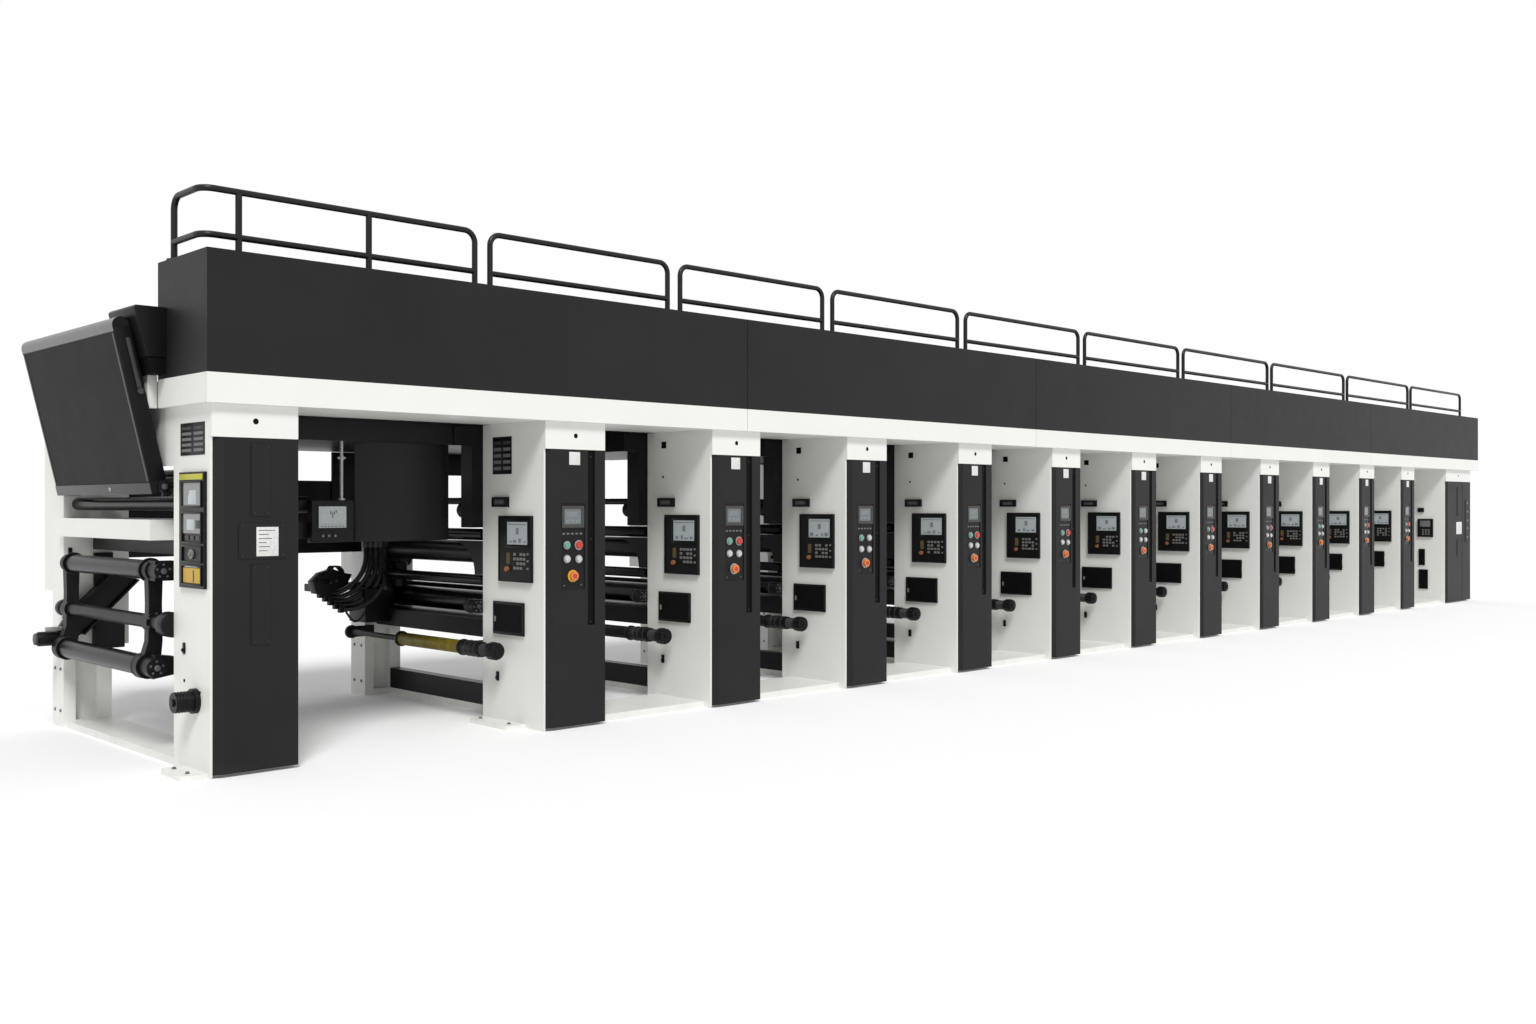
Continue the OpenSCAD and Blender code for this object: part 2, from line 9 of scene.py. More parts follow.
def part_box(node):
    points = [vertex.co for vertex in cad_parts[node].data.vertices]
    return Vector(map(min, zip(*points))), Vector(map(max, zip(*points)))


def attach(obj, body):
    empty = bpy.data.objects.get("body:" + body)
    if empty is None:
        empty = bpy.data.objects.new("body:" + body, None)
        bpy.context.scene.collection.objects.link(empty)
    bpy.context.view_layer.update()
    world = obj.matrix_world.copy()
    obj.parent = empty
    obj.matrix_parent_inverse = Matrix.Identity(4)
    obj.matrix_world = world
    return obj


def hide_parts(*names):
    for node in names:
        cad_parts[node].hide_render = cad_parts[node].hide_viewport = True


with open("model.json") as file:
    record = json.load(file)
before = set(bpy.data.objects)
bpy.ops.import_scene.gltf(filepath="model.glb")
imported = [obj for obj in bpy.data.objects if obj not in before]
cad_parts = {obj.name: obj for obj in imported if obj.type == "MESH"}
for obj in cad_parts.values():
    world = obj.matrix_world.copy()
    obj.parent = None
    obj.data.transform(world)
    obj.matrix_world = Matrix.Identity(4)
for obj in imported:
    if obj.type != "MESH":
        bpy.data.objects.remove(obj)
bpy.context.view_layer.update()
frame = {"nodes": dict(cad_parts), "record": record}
nodes = frame["nodes"]
behaviour = frame["record"]["behaviour"]
print("frame loaded:", len(nodes), "nodes")

# The machine's own corner: left side of the columns, front face of the covers, floor.
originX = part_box("rear_frames")[0].x
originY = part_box("unit_covers")[0].y


def span(node, axis):
    # Lowest and highest place of a node along x, y or z, from the machine's corner.
    shift = {"x": originX, "y": originY, "z": 0.0}[axis]
    low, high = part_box(node)
    return getattr(low, axis) - shift, getattr(high, axis) - shift


firstCylinder, secondCylinder = span("gravure_cylinder_01", "x"), span("gravure_cylinder_02", "x")
unitCount = sum(1 for name in nodes if name.startswith("gravure_cylinder"))
unitPitch = secondCylinder[0] - firstCylinder[0]
gearLow, gearHigh = span("unit_covers", "x"), span("rear_gear_covers", "x")
unitRight = gearLow[1] - (unitCount - 1) * unitPitch
columnWidth = span("infeed_cover", "x")[1]
unitX = unitRight - columnWidth
lastX = span("outfeed_housing", "x")[0]
unitLefts = [unitX + i * unitPitch for i in range(unitCount)]
frameLefts = [0.0] + unitLefts + [lastX]
unitDepth, endDepth = span("unit_housings", "y")[1], span("outfeed_housing", "y")[1]
rearFront, rearBack = span("rear_frames", "y")
gearBack = span("rear_gear_covers", "y")[1]
beamLow, beamTop = span("header_beam", "z")
deckTop = span("walkway_deck", "z")[1]
headerFront = span("header_fascia", "y")[0]
coverTop = span("infeed_cover", "z")[1]


# ---- shader graph
class Val:
    def __init__(self, graph, socket):
        self.graph, self.socket = graph, socket

    def calc(self, operation, first, second):
        return self.graph.make("ShaderNodeMath", {"operation": operation}, {0: first, 1: second})

    def __add__(self, other):
        return self.calc("ADD", self, other)

    def __radd__(self, other):
        return self.calc("ADD", other, self)

    def __sub__(self, other):
        return self.calc("SUBTRACT", self, other)

    def __rsub__(self, other):
        return self.calc("SUBTRACT", other, self)

    def __mul__(self, other):
        return self.calc("MULTIPLY", self, other)

    def __rmul__(self, other):
        return self.calc("MULTIPLY", other, self)

    def __truediv__(self, other):
        return self.calc("DIVIDE", self, other)

    def __rtruediv__(self, other):
        return self.calc("DIVIDE", other, self)

    def __pow__(self, other):
        return self.calc("POWER", self, other)


class Graph:
    def __init__(self, name):
        self.material = bpy.data.materials.new(name)
        self.material.use_nodes = True
        self.tree = self.material.node_tree
        self.shader = self.tree.nodes["Principled BSDF"]
        coord = self.tree.nodes.new("ShaderNodeTexCoord")
        self.place = Val(self, coord.outputs["Object"])

    def make(self, kind, settings=None, values=None, out=0):
        node = self.tree.nodes.new(kind)
        for key, value in (settings or {}).items():
            if key == "stops":
                ramp = node.color_ramp
                while len(ramp.elements) < len(value):
                    ramp.elements.new(0.5)
                for element, (spot, shade) in zip(ramp.elements, value):
                    element.position = spot
                    element.color = (*shade, 1) if isinstance(shade, tuple) else (shade,) * 3 + (1,)
            else:
                setattr(node, key, value)
        for key, value in (values or {}).items():
            self.plug(node.inputs[key], value)
        return Val(self, node.outputs[out])

    def plug(self, socket, value):
        if isinstance(value, Val):
            self.tree.links.new(value.socket, socket)
        else:
            socket.default_value = value

    def noise(self, scale, detail=3, rough=0.55, place=None):
        return self.make("ShaderNodeTexNoise", {}, {"Vector": place or self.place, "Scale": scale,
                                                    "Detail": detail, "Roughness": rough})

    def stretched(self, scale):
        return self.make("ShaderNodeVectorMath", {"operation": "MULTIPLY"}, {0: self.place, 1: scale})

    def along(self, axis):
        return self.make("ShaderNodeSeparateXYZ", {}, {0: self.place}, "xyz".index(axis))

    def fade(self, value, start, end):
        # 1 at start, 0 at end.
        return self.make("ShaderNodeMapRange", {}, {0: value, 1: start, 2: end, 3: 1.0, 4: 0.0})

    def ramp(self, value, *stops):
        return self.make("ShaderNodeValToRGB", {"stops": stops}, {0: value})

    def blendColour(self, factor, first, second):
        return self.make("ShaderNodeMix", {"data_type": "RGBA"}, {0: factor, 6: first, 7: second}, 2)

    def bump(self, value, strength, depth, normal=None):
        values = {"Strength": strength, "Distance": depth, "Height": value}
        if normal:
            values["Normal"] = normal
        return self.make("ShaderNodeBump", {}, values)

    def softEdge(self, radius):
        return self.make("ShaderNodeBevel", {"samples": 4}, {"Radius": radius})

    def fixed(self, **values):
        # Numbers that are the same all over the surface.
        for key, value in values.items():
            self.shader.inputs[key.replace("_", " ")].default_value = value

    def surface(self, **values):
        for key, value in values.items():
            self.plug(self.shader.inputs[key.replace("_", " ")], value)
        return self.material


def rgb(r, g, b):
    return (r, g, b, 1)


# Painted finishes: two tones, mean roughness, gloss, grain size in metres and depth, and floor dust.
finishes = {
    "whiteEnamel": {"light": (0.80, 0.80, 0.765), "deep": (0.765, 0.765, 0.735), "rough": 0.40, "gloss": 0.40,
                    "grain": 0.0016, "depth": 0.00005, "edge": 0.003, "dust": (0.60, 0.59, 0.56), "dustTop": 0.12},
    "charcoalPowder": {"light": (0.0105, 0.0105, 0.0108), "deep": (0.0070, 0.0070, 0.0072), "rough": 0.50,
                       "gloss": 0.24, "grain": 0.0012, "depth": 0.00010, "edge": 0.003,
                       "dust": (0.030, 0.029, 0.027), "dustTop": 0.08},
    "blackPaint": {"light": (0.0050, 0.0050, 0.0052), "deep": (0.0030, 0.0030, 0.0032), "rough": 0.40,
                   "gloss": 0.20, "grain": 0.0015, "depth": 0.00008, "edge": 0.002,
                   "dust": (0.020, 0.019, 0.018), "dustTop": 0.10},
    "panelSheet": {"light": (0.0105, 0.0105, 0.0108), "deep": (0.0080, 0.0080, 0.0082), "rough": 0.58,
                   "gloss": 0.13, "grain": 0.0012, "depth": 0.00006, "edge": 0.003,
                   "dust": (0.02, 0.02, 0.02), "dustTop": 0.0},
    "panelPlastic": {"light": (0.0050, 0.0050, 0.0052), "deep": (0.0040, 0.0040, 0.0042), "rough": 0.36,
                     "gloss": 0.22, "grain": 0.0008, "depth": 0.00003, "edge": 0.0015,
                     "dust": (0.02, 0.02, 0.02), "dustTop": 0.0},
    "railPaint": {"light": (0.0065, 0.0065, 0.0065), "deep": (0.0045, 0.0045, 0.0045), "rough": 0.34,
                  "gloss": 0.30, "grain": 0.0015, "depth": 0.00004, "edge": 0.0,
                  "dust": (0.02, 0.02, 0.02), "dustTop": 0.0},
    "hoseRubber": {"light": (0.0160, 0.0160, 0.0160), "deep": (0.0090, 0.0090, 0.0090), "rough": 0.34,
                   "gloss": 0.55, "grain": 0.0015, "depth": 0.00010, "edge": 0.0,
                   "dust": (0.02, 0.02, 0.02), "dustTop": 0.0},
}


def paintFinish(name):
    f = finishes[name]
    g = Graph(name)
    broad = g.noise(1.3, 4, 0.6)
    fine = g.noise(1 / f["grain"], 2, 0.5)
    tone = g.blendColour(g.ramp(broad, (0.35, 0.0), (0.7, 1.0)), rgb(*f["light"]), rgb(*f["deep"]))
    if f["dustTop"] > 0:
        scuff = g.ramp(g.noise(5.0, 5, 0.7), (0.46, 0.0), (0.70, 1.0))
        low = g.fade(g.along("z"), 0.0, f["dustTop"])
        tone = g.blendColour(low * scuff * 0.45, tone, rgb(*f["dust"]))
    smear = g.noise(4.0, 4, 0.65)
    rough = f["rough"] - 0.05 + smear * 0.10
    g.fixed(Specular_IOR_Level=f["gloss"])
    edge = g.softEdge(f["edge"]) if f["edge"] else None
    return g.surface(Base_Color=tone, Roughness=rough, Normal=g.bump(fine, 0.3, f["depth"], edge))


def treadFinish(name):
    # Chequer plate: short raised bars in two directions.
    g = Graph(name)
    turned = g.make("ShaderNodeMapping", {"vector_type": "POINT"}, {0: g.place, 2: (0.0, 0.0, math.radians(45))})
    bars = []
    for scale in ((28.0, 9.0, 1.0), (9.0, 28.0, 1.0)):
        cells = g.make("ShaderNodeVectorMath", {"operation": "MULTIPLY"}, {0: turned, 1: scale})
        dots = g.make("ShaderNodeTexVoronoi", {"feature": "F1"}, {"Vector": cells, "Scale": 1.0, "Randomness": 0.0})
        bars.append(g.ramp(dots, (0.22, 1.0), (0.34, 0.0)))
    raised = bars[0] + bars[1]
    tone = g.blendColour(raised * 0.5, rgb(0.010, 0.010, 0.010), rgb(0.030, 0.030, 0.030))
    g.fixed(Specular_IOR_Level=0.3)
    return g.surface(Base_Color=tone, Roughness=0.46 - 0.04 + g.noise(3.0, 4, 0.6) * 0.10,
                     Normal=g.bump(raised, 0.8, 0.0025))


def rollerFinish(name, light, deep, rough, metallic=0.0, gloss=0.5, coat=0.0, yellowUpTo=None):
    # Turned surface: fine rings round the axis, which runs along Y.
    g = Graph(name)
    rings = g.noise(1.0, 3, 0.6, g.stretched((6.0, 900.0, 6.0)))
    haze = g.noise(4.0, 4, 0.6)
    tone = g.blendColour(g.ramp(haze, (0.35, 0.0), (0.7, 1.0)), rgb(*light), rgb(*deep))
    if yellowUpTo is not None:
        stain = g.ramp(g.noise(14.0, 4, 0.6), (0.4, 0.0), (0.7, 1.0))
        yellow = g.blendColour(stain, rgb(0.19, 0.145, 0.012), rgb(0.11, 0.085, 0.008))
        tone = g.blendColour(g.fade(g.along("x"), yellowUpTo, yellowUpTo + 0.001), tone, yellow)
    g.fixed(Metallic=metallic, Coat_Weight=coat, Specular_IOR_Level=gloss)
    return g.surface(Base_Color=tone, Roughness=rough - 0.06 + rings * 0.12, Normal=g.bump(rings, 0.2, 0.00008))


def simpleFinish(name, colour, rough, metallic=0.0, coat=0.0, glow=0.0, gloss=0.4):
    g = Graph(name)
    mottle = g.noise(60.0, 3, 0.6)
    darker = tuple(c * 0.8 for c in colour)
    tone = g.blendColour(g.ramp(mottle, (0.3, 0.0), (0.75, 1.0)), rgb(*colour), rgb(*darker))
    g.fixed(Metallic=metallic, Coat_Weight=coat, Specular_IOR_Level=gloss)
    if glow:
        g.fixed(Emission_Color=rgb(*colour), Emission_Strength=glow)
    return g.surface(Base_Color=tone, Roughness=rough - 0.05 + mottle * 0.1)


mats = {name: paintFinish(name) for name in finishes}
mats["treadPlate"] = treadFinish("treadPlate")
mats["rollerBlack"] = rollerFinish("rollerBlack", (0.0060, 0.0060, 0.0062), (0.0042, 0.0042, 0.0044), 0.26, gloss=0.17)
mats["rollerRubber"] = rollerFinish("rollerRubber", (0.0060, 0.0060, 0.0060), (0.0040, 0.0040, 0.0040), 0.36, gloss=0.20)
mats["groundSteel"] = rollerFinish("groundSteel", (0.034, 0.034, 0.036), (0.022, 0.022, 0.024), 0.30, metallic=1.0)
mats["inkSleeve"] = rollerFinish("inkSleeve", (0.0070, 0.0070, 0.0070), (0.0050, 0.0050, 0.0050), 0.42, gloss=0.22,
                                 yellowUpTo=originX + unitX + 0.3)
simple = {
    "boltSteel": ((0.22, 0.22, 0.225), 0.35, 1.0), "boltBlack": ((0.012, 0.012, 0.012), 0.4),
    "paleSteel": ((0.42, 0.42, 0.41), 0.38, 0.6), "screenInk": ((0.20, 0.23, 0.25), 0.2),
    "screenDark": ((0.05, 0.06, 0.06), 0.2), "labelWhite": ((0.74, 0.74, 0.72), 0.45),
    "labelGrey": ((0.16, 0.16, 0.16), 0.5), "labelMid": ((0.05, 0.05, 0.05), 0.5),
    # recessDark: near-black. In the cover recesses, the discs above the covers and on the hatch doors it is painted
    # shade; on the rear cover seams, the side port covers and bolt dots and the end box's bottom band it is the parts'
    # own dark.
    "keyGrey": ((0.19, 0.19, 0.18), 0.42), "recessDark": ((0.0025, 0.0025, 0.0025), 0.6, 0.0, 0.0, 0.0, 0.1),
    "panelYellow": ((0.60, 0.36, 0.02), 0.4), "stripLime": ((0.52, 0.50, 0.03), 0.35),
    "tagOchre": ((0.11, 0.075, 0.03), 0.5), "knobAmber": ((0.30, 0.12, 0.05), 0.32), "stopOrange": ((0.72, 0.20, 0.03), 0.32, 0.0, 0.3),
    "ringYellow": ((0.72, 0.42, 0.04), 0.35, 0.0, 0.2), "lampGreen": ((0.12, 0.36, 0.28), 0.25, 0.0, 0.4),
    "lampRed": ((0.50, 0.035, 0.02), 0.25, 0.0, 0.4), "lampWhite": ((0.55, 0.58, 0.57), 0.25, 0.0, 0.4),
    "topBarGrey": ((0.17, 0.17, 0.17), 0.34, 0.5), "brassDull": ((0.16, 0.10, 0.045), 0.45, 0.5), "railGrey": ((0.05, 0.05, 0.05), 0.42, 0.2),
}
for name, values in simple.items():
    mats[name] = simpleFinish(name, *values)
mats["screenGlass"] = simpleFinish("screenGlass", (0.40, 0.44, 0.45), 0.14, 0.0, 0.5, 0.10)
mats["windowGlass"] = simpleFinish("windowGlass", (0.16, 0.17, 0.17), 0.12, 0.0, 0.6)
print("materials made:", len(mats))

cadFinish = {
    "white_paint": "whiteEnamel", "dark_paint": "charcoalPowder", "black_paint": "blackPaint",
    "roller_rubber": "rollerRubber", "roller_black": "rollerBlack", "cylinder_steel": "groundSteel",
    "ink_yellow": "inkSleeve", "panel_plastic": "panelPlastic", "hose_rubber": "hoseRubber",
}
ownFinish = {"handrails": "railPaint", "walkway_deck": "treadPlate", "side_hatches": "panelPlastic",
             "inspection_panel": "panelSheet"}
slotOf = {s["node"]: s["material_slot"] for s in frame["record"]["subparts"]}
for name, ob in nodes.items():
    ob.data.materials.clear()
    ob.data.materials.append(mats[ownFinish.get(name, cadFinish[slotOf[name]])])


# ---- mesh helpers, in the machine's own coordinates
class Stock:
    turns = {"x": Matrix.Rotation(math.pi / 2, 4, "Y"), "y": Matrix.Rotation(-math.pi / 2, 4, "X"), "z": Matrix()}

    def __init__(self):
        self.bm = bmesh.new()

    def slab(self, x0, x1, y0, y1, z0, z1, soft=0.0):
        size = Vector((x1 - x0, y1 - y0, z1 - z0))
        centre = Vector((originX + (x0 + x1) / 2, originY + (y0 + y1) / 2, (z0 + z1) / 2))
        made = bmesh.ops.create_cube(self.bm, size=1.0,
                                     matrix=Matrix.Translation(centre) @ Matrix.Diagonal((*size, 1)))
        if soft:
            edges = list({e for v in made["verts"] for e in v.link_edges})
            bmesh.ops.bevel(self.bm, geom=edges, offset=soft, segments=2, affect="EDGES", profile=0.6)
        return self

    def rim(self, face, depth, y0, y1, z0, z1, width, soft=0.0015):
        # A raised border on a face that looks towards -X.
        for a, b, c, d in ((y0, y1, z0, z0 + width), (y0, y1, z1 - width, z1),
                           (y0, y0 + width, z0 + width, z1 - width), (y1 - width, y1, z0 + width, z1 - width)):
            self.slab(face - depth, face, a, b, c, d, soft)
        return self

    def rod(self, start, axis, length, radius, sides=20, soft=0.0, tip=None):
        # A round bar from start along x, y or z, with softened ends.
        base = Matrix.Translation(Vector((originX + start[0], originY + start[1], start[2]))) @ self.turns[axis]
        made = bmesh.ops.create_cone(self.bm, cap_ends=True, segments=sides, radius1=radius,
                                     radius2=radius if tip is None else tip, depth=length,
                                     matrix=base @ Matrix.Translation((0, 0, length / 2)))
        if soft:
            rims = [e for e in {e for v in made["verts"] for e in v.link_edges}
                    if len(e.link_faces) == 2 and any(len(f.verts) > 4 for f in e.link_faces)]
            bmesh.ops.bevel(self.bm, geom=rims, offset=soft, segments=2, affect="EDGES", profile=0.6)
        return self

    def ring(self, centre, axis, radius, thick, around=28, sides=8):
        # A torus about an axis through the centre.
        base = Matrix.Translation(Vector((originX + centre[0], originY + centre[1], centre[2]))) @ self.turns[axis]
        loops = []
        for i in range(around):
            a = 2 * math.pi * i / around
            loops.append([self.bm.verts.new(base @ Vector(((radius + thick * math.cos(b)) * math.cos(a),
                                                           (radius + thick * math.cos(b)) * math.sin(a),
                                                           thick * math.sin(b))))
                          for b in (2 * math.pi * j / sides for j in range(sides))])
        for i in range(around):
            for j in range(sides):
                here, there = loops[i], loops[(i + 1) % around]
                self.bm.faces.new((here[j], there[j], there[(j + 1) % sides], here[(j + 1) % sides]))
        return self

    def tube(self, points, radius, sides=10, rib=0.0):
        # A bent tube through the points, with closed ends; rib makes every other ring that much wider.
        spots = [Vector((originX + p[0], originY + p[1], p[2])) for p in points]
        loops, side = [], None
        for i, spot in enumerate(spots):
            way = (spots[min(i + 1, len(spots) - 1)] - spots[max(i - 1, 0)]).normalized()
            side = (side - way * side.dot(way)).normalized() if side else way.orthogonal().normalized()
            other = way.cross(side)
            wide = radius + rib * (i % 2)
            loops.append([self.bm.verts.new(spot + wide * (side * math.cos(a) + other * math.sin(a)))
                          for a in (2 * math.pi * j / sides for j in range(sides))])
        for here, there in zip(loops, loops[1:]):
            for j in range(sides):
                self.bm.faces.new((here[j], here[(j + 1) % sides], there[(j + 1) % sides], there[j]))
        self.bm.faces.new(loops[0][::-1])
        self.bm.faces.new(loops[-1])
        return self

    def profile(self, outline, y0, y1, soft=0.0):
        # An outline in x and z, drawn out along y.
        rings = [[self.bm.verts.new(Vector((originX + x, originY + y, z))) for x, z in outline] for y in (y0, y1)]
        faces = [self.bm.faces.new(rings[0]), self.bm.faces.new(rings[1][::-1])]
        count = len(outline)
        for i in range(count):
            j = (i + 1) % count
            faces.append(self.bm.faces.new((rings[0][j], rings[0][i], rings[1][i], rings[1][j])))
        if soft:
            edges = [e for e in {e for f in faces for e in f.edges} if abs(e.verts[0].co.y - e.verts[1].co.y) < 1e-6]
            bmesh.ops.bevel(self.bm, geom=edges, offset=soft, segments=2, affect="EDGES", profile=0.6)
        return self

    def plan(self, outline, z0, z1):
        # An outline in x and y, drawn up along z.
        rings = [[self.bm.verts.new(Vector((originX + x, originY + y, z))) for x, y in outline] for z in (z0, z1)]
        self.bm.faces.new(rings[0][::-1])
        self.bm.faces.new(rings[1])
        count = len(outline)
        for i in range(count):
            j = (i + 1) % count
            self.bm.faces.new((rings[0][i], rings[0][j], rings[1][j], rings[1][i]))
        return self

    def bolt(self, spot, axis, size, height, away=-1):
        # A hexagon head that stands on a face; away is the side it stands out to.
        start = list(spot)
        if away < 0:
            start["xyz".index(axis)] -= height
        washer = list(spot)
        if away < 0:
            washer["xyz".index(axis)] -= height * 0.2
        self.rod(start, axis, height, size, 6, height * 0.15)
        return self.rod(washer, axis, height * 0.2, size * 1.35, 18)

    def turn(self, pivot, axis, degrees):
        bmesh.ops.rotate(self.bm, verts=self.bm.verts, cent=pivot,
                         matrix=Matrix.Rotation(math.radians(degrees), 3, axis))
        return self

    def piece(self, name, finish, slot, body="machine_frame"):
        mesh = bpy.data.meshes.new(name)
        bmesh.ops.recalc_face_normals(self.bm, faces=self.bm.faces)
        for face in self.bm.faces:
            face.smooth = len(face.verts) == 4 and face.calc_area() < 0.02
        self.bm.to_mesh(mesh)
        self.bm.free()
        ob = bpy.data.objects.new(name, mesh)
        bpy.context.scene.collection.objects.link(ob)
        mesh.materials.append(mats[finish])
        mesh.set_sharp_from_angle(angle=math.radians(32))
        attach(ob, body)
        return ob


# ---- unit side panels: rim, screen, tag, keys, knob
sidePanel = {"front": 0.148, "rear": 0.555, "low": 1.050, "high": 1.530, "face": 0.025,
             "screen": (0.185, 0.440, 1.322, 1.486), "keys": (0.205, 0.365, 1.135, 1.268),
             "tag": (0.408, 0.450, 1.180, 1.262), "knob": (0.430, 1.143), "knobRadius": 0.019}


def sidePanels():
    p = sidePanel
    rims, glass, ink, keys, knobs, tags, side, bezel = (Stock() for _ in range(8))
    for number, x in enumerate(unitLefts):
        face = x - p["face"]
        rims.rim(face, 0.004, p["front"], p["rear"], p["low"], p["high"], 0.010)
        s = p["screen"]
        bezel.rim(face, 0.006, s[0] - 0.022, s[1] + 0.022, s[2] - 0.022, s[3] + 0.022, 0.020, 0.003)
        glass.slab(face - 0.002, face, *s)
        width, tall = s[1] - s[0], s[3] - s[2]
        ink.slab(face - 0.003, face - 0.002, s[0] + width * 0.05, s[1] - width * 0.05, s[3] - tall * 0.13, s[3] - tall * 0.09)
        ink.slab(face - 0.003, face - 0.002, s[0] + width * 0.42, s[0] + width * 0.56, s[2] + tall * 0.45, s[2] + tall * 0.74)
        for k in range(4):
            start = s[0] + width * (0.08 + 0.23 * k)
            ink.slab(face - 0.003, face - 0.002, start, start + width * (0.10 + 0.03 * ((k + number) % 3)),
                     s[2] + tall * 0.08, s[2] + tall * (0.16 + 0.05 * ((k * 5 + number) % 3)))
        k = p["keys"]
        for row in range(4):
            for col in range(4):
                y = k[0] + (k[1] - k[0]) * (col + 0.5) / 4
                z = k[2] + (k[3] - k[2]) * (row + 0.5) / 4
                if (row + col * 2 + number) % 7:
                    keys.slab(face - 0.005, face, y - 0.014, y + 0.014, z - 0.010, z + 0.010, 0.002)
        for z in (1.150, 1.205, 1.255):
            side.rod((face - 0.008, 0.178, z), "x", 0.008, 0.009, 16, 0.002)
        knobs.rod((face - 0.024, *p["knob"]), "x", 0.024, p["knobRadius"], 24, 0.004)
        tags.slab(face - 0.002, face, *p["tag"], 0.0008)
    rims.piece("side_panel_rims", "panelPlastic", "panel_plastic")
    bezel.piece("side_panel_bezels", "panelPlastic", "panel_plastic")
    glass.piece("side_panel_screens", "screenGlass", "panel_plastic")
    ink.piece("side_panel_screen_marks", "screenInk", "panel_plastic")
    keys.piece("side_panel_keys", "keyGrey", "panel_plastic")
    side.piece("side_panel_buttons", "keyGrey", "panel_plastic")
    knobs.piece("side_panel_knobs", "knobAmber", "panel_plastic")
    tags.piece("side_panel_tags", "tagOchre", "panel_plastic")


# ---- small readout above each side panel
readout = {"front": 0.450, "rear": 0.650, "low": 1.594, "high": 1.667, "face": 0.020}


def readouts():
    r = readout
    rims, windows, digits = Stock(), Stock(), Stock()
    for x in unitLefts:
        face = x - r["face"]
        rims.rim(face, 0.004, r["front"], r["rear"], r["low"], r["high"], 0.009)
        windows.slab(face - 0.001, face, r["front"] + 0.035, r["rear"] - 0.03, r["low"] + 0.018, r["high"] - 0.018)
        for k in range(4):
            y = r["front"] + 0.055 + 0.027 * k
            digits.slab(face - 0.002, face - 0.001, y, y + 0.015, r["low"] + 0.025, r["high"] - 0.025)
    rims.piece("readout_rims", "panelPlastic", "panel_plastic")
    windows.piece("readout_windows", "labelMid", "panel_plastic")
    digits.piece("readout_marks", "labelGrey", "panel_plastic")


# ---- panels let into the unit covers
frontPanel = {"left": 0.135, "right": 0.345, "low": 1.000, "high": 1.620, "face": 0.006,
              "screen": (0.163, 0.316, 1.470, 1.582), "stop": (0.240, 1.097),
              "lamps": ((0.188, 1.320, "lampGreen"), (0.292, 1.319, "lampRed"),
                        (0.188, 1.221, "lampWhite"), (0.292, 1.218, "lampWhite"))}


def frontPanels():
    p = frontPanel
    bezel, glass, ink, tags, rings, stops, hoops, caps = (Stock() for _ in range(8))
    lamps = {}
    face = p["face"]
    for number, x in enumerate(unitLefts):
        s = p["screen"]
        for a, b, c, d in ((s[0] - 0.022, s[1] + 0.022, s[3], s[3] + 0.020), (s[0] - 0.022, s[1] + 0.022, s[2] - 0.026, s[2]),
                           (s[0] - 0.022, s[0], s[2], s[3]), (s[1], s[1] + 0.022, s[2], s[3])):
            bezel.slab(x + a, x + b, face - 0.010, face, c, d, 0.003)
        glass.slab(x + s[0], x + s[1], face - 0.003, face, s[2], s[3])
        width, tall = s[1] - s[0], s[3] - s[2]
        for k in range(3):
            start = x + s[0] + width * (0.1 + 0.28 * k)
            ink.slab(start, start + width * 0.2, face - 0.004, face - 0.003, s[2] + tall * 0.12, s[2] + tall * 0.3)
        ink.slab(x + s[0] + width * 0.15, x + s[0] + width * 0.75, face - 0.004, face - 0.003,
                 s[2] + tall * 0.5, s[2] + tall * 0.8)
        for k in range(5):
            tags.slab(x + 0.150 + 0.038 * k, x + 0.172 + 0.038 * k, face - 0.001, face, 1.396, 1.408)
        for at, z, tone in p["lamps"]:
            tone = "lampWhite" if tone == "lampRed" and number % 3 == 2 else tone
            big = 0.006 if tone == "lampRed" else 0.0
            rings.rod((x + at, face - 0.007, z), "y", 0.007, 0.030 + big, 28, 0.002)
            lamps.setdefault(tone, Stock()).rod((x + at, face - 0.019, z), "y", 0.014, 0.023 + big, 28, 0.005)
        at, z = p["stop"]
        (hoops if number == 0 else rings).rod((x + at, face - 0.006, z), "y", 0.006, 0.044, 28, 0.002)
        stops.rod((x + at, face - 0.030, z), "y", 0.024, 0.036, 28, 0.007, 0.033)
        caps.rod((x + at, face - 0.034, z), "y", 0.005, 0.017, 20, 0.001)
        for dx in (0.030, 0.180):
            tags.rod((x + 0.135 + dx, face - 0.002, 1.030), "y", 0.002, 0.005, 12)
    bezel.piece("front_panel_bezels", "labelMid", "panel_plastic")
    glass.piece("front_panel_screens", "windowGlass", "panel_plastic")
    ink.piece("front_panel_screen_marks", "screenInk", "panel_plastic")
    tags.piece("front_panel_tags", "labelGrey", "panel_plastic")
    rings.piece("front_panel_rings", "paleSteel", "panel_plastic")
    hoops.piece("front_panel_hoops", "ringYellow", "panel_plastic")
    stops.piece("stop_buttons", "stopOrange", "panel_plastic")
    caps.piece("stop_button_caps", "lampRed", "panel_plastic")
    for tone, stock in lamps.items():
        stock.piece("front_panel_" + tone, tone, "panel_plastic")


# ---- covers: screws, the card, the pale patches, the outfeed slot marks and the painted shade in the cover slots
coverPlates = {"plates": ((0.235, 0.355, 1.540, 1.975), (0.160, 0.445, 1.285, 1.500), (0.235, 0.355, 0.770, 1.250)),
               "card": (0.265, 0.401, 1.300, 1.475), "face": -0.006, "inset": 0.018}


